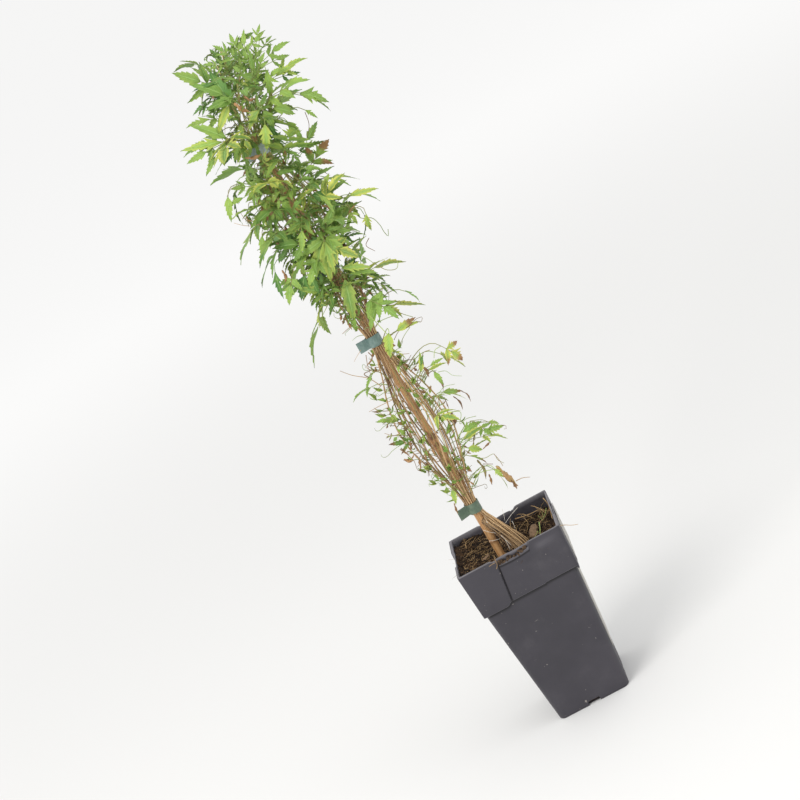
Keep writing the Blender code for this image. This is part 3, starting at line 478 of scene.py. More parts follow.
# Paler grey for wear and for painted highlights on the edges
PLASTIC_WEAR_AND_HIGHLIGHT = (0.30, 0.285, 0.31)
PLASTIC_SHADE = (0.006, 0.005, 0.007)
SOIL_BLACK = (0.005, 0.0035, 0.003)
SOIL_BROWN = (0.030, 0.017, 0.010)
SOIL_PATCH = (0.13, 0.070, 0.030)
SOIL_FLECK = (0.40, 0.24, 0.11)
CRUMB_DARK = (0.010, 0.006, 0.004)
CRUMB_LIGHT = (0.27, 0.175, 0.105)
FIBRE_DARK = (0.07, 0.034, 0.016)
FIBRE_GOLD = (0.66, 0.44, 0.21)
ROOT_DULL = (0.60, 0.54, 0.44)
ROOT_PALE = (0.86, 0.82, 0.74)
CANE_ORANGE = (0.44, 0.225, 0.088)
CANE_GOLD = (0.68, 0.41, 0.185)
CANE_FIBRE = (0.30, 0.145, 0.06)
CANE_BLOTCH = (0.11, 0.050, 0.026)
CANE_JOINT = (0.17, 0.085, 0.045)
CANE_SCAR = (0.66, 0.50, 0.34)
# The label's white is darkened as painted shade
LABEL_SHADED_WHITE = (0.42, 0.405, 0.375)
LABEL_SMUDGE = (0.28, 0.265, 0.24)
LABEL_SPECK = (0.20, 0.15, 0.11)

# Tones as (brightness, yellow, brown)
FRESH = (0.7, 0.15, 0.0)
DEEP = (0.15, 0.0, 0.0)
LIMY = (0.9, 0.52, 0.0)
PALE = (1.0, 0.85, 0.0)
TIPPED = (0.8, 0.7, 0.62)
GREENISH_DRY = (0.5, 0.3, 0.42)
# Leaves that stand out: base spot, tip spot, forward in mm, pairs of leaflets, width, tone
SEEN_LEAVES = (
    ((382, 291), (363, 328), 30, 0, 1.15, FRESH),
    ((389, 333), (389, 359), 34, 0, 1.5, LIMY),
    ((397, 331), (415, 315), 30, 0, 1.2, TIPPED),
    ((441, 346), (467, 359), 28, 1, 1.3, (0.9, 1.0, 0.55)),
    ((420, 366), (422, 355), 26, 0, 1.3, DEEP),
    ((430, 366), (442, 357), 26, 0, 1.0, FRESH),
    ((434, 372), (444, 384), 26, 0, 1.2, FRESH),
    ((443, 392), (463, 391), 24, 0, 1.1, GREENISH_DRY),
    ((463, 432), (481, 420), 30, 0, 1.5, FRESH),
    ((478, 424), (493, 436), 30, 1, 1.2, FRESH),
    ((487, 430), (503, 425), 28, 0, 1.7, (0.5, 0.4, 0.2)),
    ((488, 422), (502, 422), 24, 0, 1.0, LIMY),
    ((468, 448), (484, 450), 30, 0, 1.6, LIMY),
    ((495, 469), (503, 478), 30, 0, 1.6, LIMY),
    ((372, 375), (364, 389), 22, 0, 0.9, FRESH),
    ((385, 420), (377, 421), 20, 0, 1.8, FRESH),
    ((397, 437), (393, 443), 24, 0, 1.6, FRESH),
    ((446, 487), (448, 496), 26, 0, 1.3, LIMY),
    ((452, 490), (458, 504), 28, 0, 1.4, LIMY),
    ((350, 196), (378, 187), 30, 0, 1.0, PALE),
    ((366, 214), (368, 233), 30, 0, 1.3, PALE),
    ((350, 210), (357, 224), 26, 1, 1.1, LIMY),
    ((323, 240), (298, 257), 44, 0, 1.1, FRESH),
    ((323, 240), (309, 276), 44, 0, 1.1, (0.6, 0.5, 0.0)),
    ((324, 242), (333, 285), 46, 0, 1.1, LIMY),
    ((325, 242), (337, 276), 48, 0, 0.9, LIMY),
    ((325, 240), (349, 258), 46, 0, 1.5, FRESH),
    ((324, 238), (352, 241), 42, 0, 1.2, FRESH),
    ((322, 238), (300, 246), 40, 0, 1.1, DEEP),
    ((342, 268), (372, 265), 34, 0, 1.1, LIMY),
    ((331, 232), (352, 228), 34, 0, 1.2, FRESH),
    ((312, 195), (335, 200), 36, 0, 1.5, DEEP),
    ((309, 193), (313, 176), 32, 0, 1.3, FRESH),
    ((322, 192), (327, 172), 30, 0, 1.2, LIMY),
    ((328, 190), (339, 172), 30, 0, 1.0, LIMY),
    ((305, 168), (321, 168), 28, 0, 1.3, FRESH),
    ((268, 180), (286, 186), 40, 0, 2.0, PALE),
    ((282, 199), (294, 212), 40, 0, 1.2, FRESH),
    ((275, 197), (292, 211), 44, 1, 1.0, FRESH),
    ((262, 172), (272, 178), 40, 1, 1.0, FRESH),
    ((250, 182), (262, 190), 38, 1, 1.0, FRESH),
    ((278, 236), (297, 238), 36, 1, 1.0, DEEP),
    ((270, 212), (284, 220), 38, 1, 1.1, FRESH),
    ((231, 105), (210, 71), 30, 0, 1.35, DEEP),
    ((214, 84), (193, 88), 26, 0, 0.7, DEEP),
    ((226, 104), (217, 128), 28, 0, 1.0, FRESH),
    ((266, 70), (272, 102), 34, 0, 1.0, FRESH),
    ((300, 93), (332, 97), 30, 0, 1.3, FRESH),
    ((274, 108), (297, 112), 40, 0, 1.9, FRESH),
    ((259, 110), (244, 129), 44, 0, 1.6, (0.5, 0.5, 0.0)),
    ((264, 111), (278, 128), 46, 0, 1.4, FRESH),
    ((265, 124), (266, 152), 44, 0, 1.3, LIMY),
    ((288, 122), (302, 138), 38, 0, 1.3, FRESH),
    ((270, 125), (279, 143), 40, 0, 1.2, DEEP),
    ((284, 95), (288, 83), 36, 0, 1.4, FRESH),
    ((305, 110), (318, 116), 28, 0, 1.0, FRESH),
    ((226, 138), (193, 122), 26, 0, 1.1, FRESH),
    ((222, 142), (182, 150), 26, 0, 0.8, LIMY),
    ((218, 146), (186, 161), 24, 1, 0.8, FRESH),
    ((222, 146), (203, 174), 26, 1, 0.8, FRESH),
    ((225, 142), (218, 162), 30, 0, 1.2, FRESH),
    ((240, 144), (232, 160), 36, 0, 1.3, FRESH),
    ((245, 140), (252, 152), 40, 0, 1.5, (0.7, 0.8, 0.1)),
    ((228, 197), (229, 222), 26, 0, 1.1, FRESH),
    ((243, 198), (226, 206), 28, 0, 1.0, FRESH),
    ((275, 272), (282, 299), 28, 0, 0.9, DEEP),
    ((293, 272), (286, 305), 30, 1, 1.1, FRESH),
    ((305, 275), (299, 303), 32, 0, 1.4, DEEP),
    ((311, 277), (317, 298), 32, 0, 1.3, DEEP),
    ((262, 236), (263, 262), 26, 0, 0.9, FRESH),
    ((256, 44), (259, 24), 14, 2, 0.7, FRESH),
    ((262, 48), (272, 34), 14, 1, 0.7, FRESH),
    ((250, 48), (262, 32), 18, 1, 1.0, (0.6, 0.3, 0.1)),
    ((240, 54), (228, 34), 16, 2, 0.8, FRESH),
    ((246, 54), (241, 30), 18, 1, 0.8, FRESH),
    ((236, 60), (215, 44), 20, 2, 0.8, FRESH),
    ((226, 66), (204, 62), 20, 2, 0.7, FRESH),
    ((264, 60), (286, 38), 16, 1, 0.9, FRESH),
    ((268, 64), (290, 52), 18, 1, 0.8, FRESH),
    ((276, 74), (304, 54), 14, 1, 0.7, LIMY),
    ((278, 78), (300, 70), 16, 1, 0.9, DEEP),
    ((250, 66), (244, 50), 30, 1, 1.2, FRESH),
    ((258, 70), (262, 52), 32, 1, 1.1, FRESH),
    ((246, 76), (232, 66), 32, 1, 1.0, FRESH),
    ((264, 82), (280, 66), 28, 1, 1.0, FRESH),
    ((276, 76), (293, 62), 24, 0, 1.4, LIMY),
)
# Stalks, tendrils and twigs: spots, forward in mm, thickness at both ends in mm, slot, tone
SEEN_STRANDS = (
    (((355, 302), (372, 318), (387, 334)), 36, 0.62, 0.5, STALK, (1, 0.5, 0)),
    (((378, 312), (393, 310), (403, 314), (413, 317)), 26, 0.5, 0.4, STALK, (0.6, 0, 0)),
    (((378, 322), (390, 317), (400, 315)), 28, 0.45, 0.35, STALK, (0.6, 0, 0)),
    (((394, 340), (399, 331), (409, 326), (418, 318), (422, 317), (421, 322), (416, 321)), 30, 0.4,
     0.3, STALK, (0.3, 0, 0.9)),
    (((400, 345), (404, 336), (410, 327)), 28, 0.4, 0.35, STALK, (0.6, 0, 0)),
    (((434, 358), (435, 350), (441, 346)), 28, 0.4, 0.4, STALK, (0.8, 0, 0)),
    (((438, 372), (446, 371), (452, 375), (462, 376)), 26, 0.35, 0.22, STALK, (0.5, 0, 0)),
    (((436, 399), (444, 387), (455, 384)), 26, 0.35, 0.25, STALK, (0.5, 0, 0)),
    (((436, 397), (444, 392), (452, 390)), 26, 0.4, 0.4, STALK, (0.6, 0, 0.2)),
    (((448, 412), (461, 413), (461, 417), (460, 424), (466, 419), (476, 416)), 26, 0.4, 0.35, STALK,
     (0.6, 0, 0)),
    (((470, 421), (483, 420), (492, 424)), 30, 0.4, 0.35, STALK, (0.6, 0, 0)),
    (((501, 425), (506, 426), (506, 429), (504, 429)), 28, 0.35, 0.25, STALK, (0.3, 0, 1)),
    (((462, 443), (470, 438), (478, 434)), 26, 0.35, 0.3, STALK, (0.7, 0, 0)),
    (((474, 475), (485, 471), (497, 469)), 30, 0.5, 0.4, STALK, (0.8, 0.3, 0)),
    (((470, 456), (485, 458), (494, 454), (498, 460), (504, 463)), 24, 0.4, 0.3, STALK, (1, 0.3, 0.5)),
    (((494, 454), (500, 461), (503, 466)), 24, 0.5, 0.3, WOOD, (0.8, 0, 0)),
    (((483, 464), (493, 464)), 24, 0.5, 0.4, WOOD, (0.9, 0, 0)),
    (((516, 481), (522, 478), (530, 477)), 30, 0.55, 0.3, WOOD, (0.4, 0, 0)),
    (((381, 386), (370, 379), (351, 375), (340, 371)), 22, 0.6, 0.3, WOOD, (0.4, 0, 0)),
    (((372, 379), (364, 374), (372, 369), (369, 363)), 20, 0.7, 0.4, WOOD, (1, 0, 0)),
    (((394, 399), (374, 409), (369, 412)), 20, 0.5, 0.3, WOOD, (0.5, 0, 0)),
    (((375, 409), (387, 418)), 20, 0.35, 0.25, WOOD, (0.5, 0, 0)),
    (((389, 424), (384, 424), (381, 421)), 20, 0.35, 0.3, STALK, (0.6, 0, 0)),
    (((361, 350), (356, 358), (354, 362)), 24, 0.3, 0.2, WOOD, (0.3, 0, 0)),
    (((366, 355), (368, 367), (371, 375)), 22, 0.5, 0.3, WOOD, (0.9, 0, 0)),
    (((401, 448), (408, 455), (414, 461), (417, 469)), 22, 0.6, 0.3, WOOD, (0.8, 0, 0)),
    (((424, 463), (428, 470), (430, 476)), 24, 0.5, 0.3, WOOD, (0.8, 0, 0)),
    (((430, 350), (424, 352), (421, 359), (410, 372)), 20, 0.4, 0.3, WOOD, (0.6, 0, 0)),
    (((330, 205), (339, 205), (347, 205), (347, 197), (350, 192)), 28, 0.5, 0.4, STALK, (0.4, 0, 0)),
    (((347, 205), (353, 211), (361, 218), (372, 218), (380, 225), (385, 233), (388, 236), (388, 229)),
     28, 0.45, 0.4, STALK, (0.1, 0, 0.3)),
    (((333, 214), (341, 225), (352, 230), (366, 235)), 26, 0.45, 0.35, STALK, (0.5, 0, 0.2)),
    (((369, 238), (366, 245), (375, 251)), 24, 0.5, 0.3, STALK, (0.6, 0, 1)),
    (((350, 250), (366, 258), (377, 265), (388, 270), (397, 268), (397, 261), (393, 261)), 28, 0.45,
     0.4, STALK, (0.8, 0.3, 0)),
    (((378, 284), (387, 289), (389, 296), (388, 303)), 26, 0.4, 0.25, STALK, (0.4, 0, 0.1)),
    (((253, 188), (241, 186), (231, 189), (227, 197)), 26, 0.4, 0.35, STALK, (0.4, 0, 0)),
    (((262, 224), (251, 226), (241, 225), (234, 223)), 22, 0.4, 0.25, WOOD, (0.2, 0, 0)),
    (((251, 225), (244, 218), (240, 212)), 22, 0.4, 0.25, WOOD, (0.6, 0, 0)),
    (((305, 112), (309, 124), (307, 139)), 34, 0.45, 0.3, WOOD, (1, 0, 0)),
    (((262, 66), (258, 54), (259, 40), (256, 30)), 20, 0.5, 0.4, STALK, (0.5, 0, 0)),
    (((272, 92), (265, 108), (262, 116)), 34, 0.6, 0.5, STALK, (0.5, 0, 0.2)),
    (((240, 72), (239, 88), (240, 104)), 26, 0.7, 0.6, WOOD, (0.7, 0.3, 0)),
    (((226, 100), (225, 118), (225, 134)), 26, 0.4, 0.3, WOOD, (0.8, 0, 0)),
)
# Dead rolled leaves: spots, forward in mm, greatest radius in mm, tone
SEEN_DEAD = (
    (((496, 466), (508, 477), (518, 486)), 30, 3.2, (0.9, 0.5, 0.5)),
    (((511, 480), (515, 485), (517, 489)), 31, 2.0, (0.3, 0, 1)),
    (((477, 460), (484, 469), (486, 479)), 28, 1.9, (0.2, 0, 0.5)),
    (((489, 474), (491, 480), (492, 485)), 26, 1.5, (0.4, 0, 1)),
    (((483, 449), (487, 445), (491, 441)), 28, 1.2, (0.4, 0, 0.9)),
    (((473, 446), (474, 438), (475, 431)), 26, 0.9, (0.1, 0, 0.5)),
    (((451, 413), (455, 420), (455, 425)), 24, 2.6, (0.1, 0, 1)),
    (((453, 396), (460, 402), (463, 410)), 26, 1.1, (0.1, 0, 1)),
    (((445, 399), (447, 404), (449, 409)), 24, 0.7, (0.1, 0, 1)),
    (((461, 391), (467, 394), (471, 402)), 24, 0.8, (0.2, 0, 1)),
    (((419, 368), (424, 368), (429, 377)), 22, 2.2, (0.4, 0, 1)),
    (((404, 459), (410, 461), (414, 460)), 24, 1.9, (0.7, 0, 1)),
    (((400, 449), (404, 452), (410, 455)), 24, 1.2, (0.4, 0, 1)),
    (((454, 503), (456, 509), (458, 514)), 28, 1.3, (0.4, 0, 1)),
    (((368, 352), (372, 357), (366, 367)), 22, 0.9, (0.4, 0, 1)),
    (((209, 88), (213, 94), (213, 100)), 26, 2.6, (0.3, 0, 1)),
    (((234, 103), (240, 108), (250, 112)), 40, 3.0, (1, 0, 1)),
    (((245, 158), (254, 158), (262, 154)), 42, 2.2, (0.8, 0, 1)),
    (((244, 96), (250, 100), (256, 98)), 34, 1.8, (0.7, 0, 1)),
    (((322, 206), (329, 207), (331, 214)), 36, 2.2, (0.7, 0, 0.9)),
    (((298, 228), (308, 229), (314, 224)), 34, 2.4, (0.4, 0, 1)),
    (((276, 243), (284, 245), (288, 250)), 30, 2.2, (0.2, 0, 1)),
    (((282, 270), (286, 278), (285, 282)), 28, 1.9, (0.7, 0, 1)),
    (((355, 205), (352, 208), (348, 214)), 27, 1.1, (0.7, 0, 0.9)),
    (((246, 216), (248, 220), (254, 221)), 24, 1.0, (0.7, 0, 1)),
    (((343, 244), (349, 250), (352, 259)), 34, 2.4, (0.1, 0, 1)),
    (((343, 288), (350, 296), (355, 308)), 26, 2.6, (0.3, 0, 1)),
    (((359, 286), (364, 296), (368, 308)), 24, 2.0, (0.2, 0, 1)),
    (((345, 318), (350, 326), (352, 330)), 22, 1.6, (0.5, 0, 0.8)),
)

# The photograph's view and its light
PICTURE_SIDE = 800
SENSOR_WIDTH = 36
CAMERA_AZIMUTH = 5.4076
CAMERA_ELEVATION = 14.751
CAMERA_ROLL = -30.0793
CAMERA_PLACE = (0.19928, -2.38719, 1.08092)
CAMERA_LENS = 92.10
FLOOR_REACH = 40.0
FLOOR_FADE = (0.9, 4.5)
FLOOR_NEAR = (0.80, 0.80, 0.795)
FLOOR_FAR = (1.0, 1.0, 1.0)
WORLD_COLOUR = (1.0, 0.998, 0.992, 1)
WORLD_STRENGTH = 0.92
LIGHT_TARGET = (0.0, 0.0, 0.45)
STUDIO_LIGHTS = (
    ("key", (-1.6, -2.2, 2.6), 1.8, 60, (1.0, 0.98, 0.95)),
    ("fill", (2.4, -1.2, 1.2), 2.4, 14, (0.95, 0.97, 1.0)),
)


def ray(turn, rise=0.0):
    """A step of one at a turn about Z, with its rise."""
    return np.array([math.cos(turn), math.sin(turn), rise])


def upward(rise):
    """A step straight up."""
    return np.array([0, 0, rise])


def unit(vector):
    """The vector at length one."""
    return vector / np.linalg.norm(vector)


def bell(offset, width, power=2):
    """1 at no offset, and e to the power -1 at an offset of one width."""
    return np.exp(-(offset / width) ** power)


def step_up(value, at, softness):
    """0 before a place and 1 after it, with a smooth step as wide as the softness."""
    t = np.clip((value - at) / softness + 0.5, 0, 1)
    return t * t * (3 - 2 * t)


def draws(draw, low, high, *shape):
    """An array of drawn numbers."""
    return np.array([draw.uniform(low, high) for _ in range(math.prod(shape))]).reshape(shape)


def scatter(draw, rise=1.0):
    """A drawn offset, with its own spread upward."""
    return np.array([draw.gauss(0, 1), draw.gauss(0, 1), draw.gauss(0, rise)])


def quarter(x, y, turn):
    """Places turned about Z by quarter turns."""
    c, s = QUARTER_TURNS[turn]
    return np.stack([c * x - s * y, s * x + c * y], axis=-1)


def cane_axis(z):
    """The cane's centre line at a height."""
    return np.array([CANE_FOOT[0] + (z - CANE_FOOT_HEIGHT) * CANE_LEAN, CANE_FOOT[1], z])


def off_cane(point):
    """How far a point stands from the cane's centre line."""
    return math.hypot(*(point - cane_axis(point[2]))[:2])


def bearing(point):
    """The turn about the cane at which a point stands."""
    away = point - cane_axis(point[2])
    return math.atan2(away[1], away[0])


def stem_habits():
    """Seeded habits of each stem: its bows between the ties, its top and its spread there."""
    draw = random.Random(STEM_SEED)
    habits = []
    for number in range(STEM_COUNT):
        habits.append({
            "bows": [draw.uniform(*bow) * MM for bow in STEM_BOWS],
            "wobble": draw.uniform(-1, 1),
            "phase": draw.uniform(0, math.tau),
            "top": draw.uniform(*(STEM_TOPS if number % SHORT_EVERY else SHORT_TOPS)) * MM,
            "spread": draw.uniform(*TOP_SPREAD) * MM,
        })
    return habits


HABITS = stem_habits()


def stem_point(number, z):
    """A stem's centre at a height: a fan from the crown, bows between ties, then a loose top."""
    habit = HABITS[number]
    axis = cane_axis(z)
    crown_angle = math.atan2(CROWN_OFFSET[1], CROWN_OFFSET[0])
    angle = math.tau * (number + 0.5) / STEM_COUNT - math.pi
    margin = TIE_BAND / 2 + TIE_MARGIN
    first_tie = TIE_HEIGHTS[0] - margin
    if z <= first_tie:
        fan = min((first_tie - z) / (first_tie - SOIL_TOP - 2 * TIE_MARGIN), 1.0)
        row = math.hypot(*CROWN_OFFSET) + CROWN_ROWS[number % len(CROWN_ROWS)]
        radius = RING_RADIUS + (row - RING_RADIUS) * fan ** FAN_POWER
        angle = crown_angle + angle * (1 - (1 - CROWN_SPREAD) * fan)
        return axis + radius * ray(angle)
    radius = RING_RADIUS
    angle += crown_angle + STEM_TWIST * (z - first_tie)
    for tie, bow in enumerate(habit["bows"]):
        low = TIE_HEIGHTS[tie] + margin
        high = TIE_HEIGHTS[tie + 1] - margin
        if low < z < high:
            share = (z - low) / (high - low)
            window = math.sin(math.pi * share) ** BOW_EASE
            radius += bow * window
            sway = math.sin(habit["phase"] + SWAY_TURN * share) * STEM_WOBBLE
            angle += (sway + STEM_WOBBLE * WOBBLE_SHARE * habit["wobble"]) * window
    loose = TIE_HEIGHTS[-1] + margin
    if z > loose:
        share = (z - loose) / (TIP_REACH - loose)
        radius += habit["spread"] * share ** SPREAD_EASE
        axis[0] += TIP_DRIFT * share ** DRIFT_EASE
    return axis + radius * ray(angle)


def stem_heights(number):
    """Heights of a stem's rings, closer together where it bends most."""
    top = HABITS[number]["top"]
    heights = [SOIL_TOP - STEM_ROOT] + [SOIL_TOP + rise * MM for rise in LOW_RINGS]
    for z in np.arange(RING_START, top - RING_STEP / 3, RING_STEP):
        if all(abs(z - tie) > RING_GAP for tie in TIE_HEIGHTS):
            heights.append(float(z))
    for tie in TIE_HEIGHTS[1:]:
        heights += [tie - RING_AT_TIE, tie + RING_AT_TIE]
    return sorted(h for h in heights if h < top - 4 * MM) + [top]


def stem_line(number):
    """A stem's ring centres: its root goes straight down into the soil."""
    points = np.array([stem_point(number, z) for z in stem_heights(number)])
    points[0, :2] = points[1, :2]
    return points


STEM_LINES = [stem_line(number) for number in range(STEM_COUNT)]


def on_stem(number, z):
    """The centre of the built stem at a height, on the straight run between two rings."""
    line = STEM_LINES[number]
    return np.array([np.interp(z, line[:, 2], line[:, axis]) for axis in range(3)])


def reaching(level):
    """The stems that reach a level."""
    return [n for n in range(STEM_COUNT) if HABITS[n]["top"] > level]


def nearest_stem(point, level):
    """The stem that passes closest to a point at a level it reaches."""
    return min(reaching(level), key=lambda n: np.linalg.norm(on_stem(n, level) - point))


def leaf_shape(pairs, length, width_share):
    """Outline of a leaf from its base round to its base again, its rib along X.

    Side leaflets stand off the rib at a slant, cut right down to it, and the end leaflet
    closes the leaf. Each leaflet has a shoulder, a tooth and a notch.
    """
    end_length = length * END_SHARE[pairs]
    half = HALF_WIDTH[pairs] * length * width_share
    foot = RIB_HALF_WIDTH * LEAFLET_FOOT
    edge = [(0.0, RIB_HALF_WIDTH)]
    for pair, place in enumerate(PAIR_PLACES[pairs]):
        start = (length - end_length) * place
        slant = math.radians(SIDE_SLANT - SLANT_LESS * pair)
        reach = length * SIDE_REACH * (1 - REACH_LESS * pair)
        for along, across in SIDE_LEAFLET:
            s = along * reach
            v = across * (half * SIDE_WIDTH if 0 < along < 1 else foot)
            x = start + s * math.cos(slant) - v * math.sin(slant)
            y = s * math.sin(slant) + v * math.cos(slant)
            edge.append((x, max(y, RIB_HALF_WIDTH)))
    for along, across in END_LEAFLET:
        edge.append((length - end_length + along * end_length, max(across * half, RIB_HALF_WIDTH)))
    mirror = [(x, -y) for x, y in reversed(edge)]
    return edge + [(length, 0.0)] + mirror


def leaf_arch(x, y, length):
    """Height of the arched blade over its plane: it droops to the tip and to its sides."""
    return -ARCH_ALONG * x * x / length - ARCH_ACROSS * y * y / length


def leaf_points(leaf):
    """The leaf's outline in space."""
    flat = np.array(leaf_shape(leaf["pairs"], leaf["length"], leaf["width"]))
    along = leaf["direction"]
    normal = leaf["normal"]
    across = np.cross(normal, along)
    rise = leaf_arch(flat[:, 0], flat[:, 1], leaf["length"])
    return leaf["base"] + flat[:, :1] * along + flat[:, 1:] * across + rise[:, None] * normal


def stalk_curve(leaf, end, steps):
    """A leaf stalk: a curve from inside the stem to an end, where it meets the leaf's rib."""
    start = leaf["attach"]
    reach = np.linalg.norm(end - start)
    bend = end - leaf["direction"] * reach * STALK_BEND + upward(reach * STALK_LIFT)
    s = np.linspace(0, 1, steps + 1)[:, None]
    return (1 - s) ** 2 * start + 2 * s * (1 - s) * bend + s ** 2 * end


def stalk_points(leaf):
    """The solid leaf's stalk: it ends half the blade's thickness under the leaf's base."""
    return stalk_curve(leaf, leaf["base"] - leaf["normal"] * BLADE_THICKNESS / 2, STALK_STEPS)


def between(points, count):
    """Points with others set evenly between them."""
    shares = np.linspace(0, 1, count, endpoint=False)[:, None, None]
    return (points[None, :-1] * (1 - shares) + points[None, 1:] * shares).reshape(-1, 3)


def leaf_samples(leaf):
    """Points spread over a leaf: along its edge, and halfway from its edge to its rib."""
    edge = between(leaf_points(leaf), 3)
    along = (edge - leaf["base"]) @ leaf["direction"]
    rib = leaf["base"] + along[:, None] * leaf["direction"]
    rib = rib + leaf_arch(along, 0.0, leaf["length"])[:, None] * leaf["normal"]
    return np.concatenate([edge, (edge + rib) / 2, rib])


def nearest(points, others):
    """Shortest distance between two sets of points, where it is less than the reach looked at."""
    low = points.min(axis=0) - REACH
    high = points.max(axis=0) + REACH
    near = others[((others > low) & (others < high)).all(axis=1)]
    if not len(near):
        return REACH
    return math.sqrt(((points[:, None] - near[None]) ** 2).sum(axis=2).min())


class Clearance:
    """What each new leaf has to stay clear of, as points."""

    def __init__(self):
        self.stems = []
        for number in range(STEM_COUNT):
            heights = np.arange(SOIL_TOP, HABITS[number]["top"], 3 * MM)
            self.stems.append(np.array([on_stem(number, z) for z in heights]))
        self.cane = np.array([cane_axis(z) for z in np.arange(SOIL_TOP, CANE_TOP, 4 * MM)])
        self.flags = np.concatenate([flag_samples(tie) for tie in range(len(TIE_HEIGHTS))])
        self.blades = np.zeros((0, 3))
        self.stalks = np.zeros((0, 3))

    def fits(self, leaf):
        """True where the leaf keeps its distance from all that is there."""
        own = self.stems[leaf["stem"]]
        others = np.concatenate([s for n, s in enumerate(self.stems) if n != leaf["stem"]])
        blade = leaf_samples(leaf)
        stalk = between(stalk_points(leaf), 4)
        rules = (
            (blade, others, OTHER_STEM_CLEAR), (blade, own, OWN_STEM_CLEAR),
            (blade, self.cane, CANE_CLEAR), (blade, self.flags, LEAF_CLEAR),
            (blade, self.blades, LEAF_CLEAR), (blade, self.stalks, LEAF_CLEAR),
            (stalk, others, STALK_CLEAR), (stalk, self.cane, CANE_CLEAR),
            (stalk, self.flags, STALK_CLEAR), (stalk, self.stalks, STALK_CLEAR),
            (stalk, self.blades, UNDER_LEAF_CLEAR),
        )
        return all(nearest(mine, theirs) >= room for mine, theirs, room in rules)

    def add(self, leaf):
        """Later leaves stay clear of this one too."""
        self.blades = np.concatenate([self.blades, leaf_samples(leaf)])
        self.stalks = np.concatenate([self.stalks, between(stalk_points(leaf), 4)[3:]])


def flag_samples(tie):
    """Points over a tie's folded end."""
    centre = cane_axis(TIE_HEIGHTS[tie])
    out = ray(math.radians(TIE_FLAG_TURN[tie]))
    reach = RING_RADIUS + STEM_RADIUS_FOOT
    return np.array([centre + out * (reach + share * TIE_FLAG) + upward(lift * TIE_BAND)
                     for share in (0.2, 0.6, 1.0) for lift in (-0.5, 0.0, 0.5)])


def leaf_frame(direction, outward, roll):
    """The blade's normal: it faces up and out, and is rolled about its rib."""
    normal = FACE_OUT * outward + upward(FACE_UP)
    normal = unit(normal - direction * (normal @ direction))
    across = np.cross(direction, normal)
    return unit(normal * math.cos(roll) + across * math.sin(roll))


def make_leaf(number, attach_z, base, tip, pairs, width, roll):
    """A leaf on a stem, from its base to its tip, rolled by a turn in degrees."""
    direction = unit(tip - base)
    outward = base - cane_axis(base[2])
    outward[2] = 0
    return {
        "stem": number, "attach": on_stem(number, attach_z), "base": base, "direction": direction,
        "normal": leaf_frame(direction, unit(outward), math.radians(roll)),
        "length": float(np.linalg.norm(tip - base)), "pairs": pairs, "width": width,
    }


def place_known_leaf(clearance, draw, pairs, base, tip, width):
    """A leaf at its stated place: it takes the nearest stem that its stalk can reach."""
    for attempt in range(PLACED_TRIES):
        drop = PLACED_DROPS[attempt % len(PLACED_DROPS)] * MM
        shift = np.array([0, draw.uniform(-1, 1), draw.uniform(-0.4, 0.4)]) * attempt * PLACED_SHIFT
        roll = draw.uniform(-PLACED_ROLL, PLACED_ROLL)
        level = base[2] + shift[2] - drop
        ready = reaching(level + 2 * MM)
        ready.sort(key=lambda n: np.linalg.norm(on_stem(n, level) - base))
        for number in ready[:3]:
            leaf = make_leaf(number, level, base + shift, tip + shift, pairs, width, roll)
            if clearance.fits(leaf):
                return leaf
    return None


def place_rule_leaf(clearance, draw, index, band):
    """The leaf of one turn of the golden angle, drawn again until it is clear of the others."""
    low, _, step, size, choices = band
    golden = math.pi * (3 - math.sqrt(5))
    for attempt in range(RULE_TRIES):
        level = (low + (index + draw.uniform(0, 1)) * step) * MM
        turn = golden * index + draw.uniform(-0.7, 0.7) * (1 + attempt * 0.05)
        out = ray(turn)
        if not reaching(level):
            return None
        number = nearest_stem(cane_axis(level) + out * STEM_SOUGHT, level)
        near_top = level > TOP_ZONE
        length = size * draw.uniform(*RULE_LENGTHS) * (TOP_SHRINK if near_top else 1.0) * MM
        stalk = draw.uniform(*RULE_STALKS) * MM
        base = on_stem(number, level) + out * stalk + upward(draw.uniform(0.1, 0.7) * stalk)
        pitch = draw.uniform(*(TOP_PITCH if near_top else LOW_PITCH))
        aim = ray(turn + draw.uniform(-0.6, 0.6), math.tan(math.radians(pitch)))
        tip = base + unit(aim) * length
        if off_cane(tip) > FARTHEST_TIP or tip[2] > HIGHEST_TIP:
            continue
        pairs = draw.choice(choices)
        roll = draw.uniform(-RULE_ROLL, RULE_ROLL)
        leaf = make_leaf(number, level, base, tip, pairs, draw.uniform(*RULE_WIDTHS), roll)
        if clearance.fits(leaf):
            return leaf
    return None


def plan_leaves():
    """All the solid leaves, in the order in which they are placed: known ones, then the bands."""
    clearance = Clearance()
    draw = random.Random(LEAF_SEED)
    leaves = []

    def keep(leaf):
        if leaf:
            clearance.add(leaf)
            leaves.append(leaf)

    for pairs, base, tip, width in PLACED_LEAVES:
        keep(place_known_leaf(clearance, draw, pairs, np.array(base) * MM, np.array(tip) * MM, width))
    for band in RULE_BANDS:
        for index in range(int((band[1] - band[0]) / band[2])):
            keep(place_rule_leaf(clearance, draw, index, band))
    return leaves


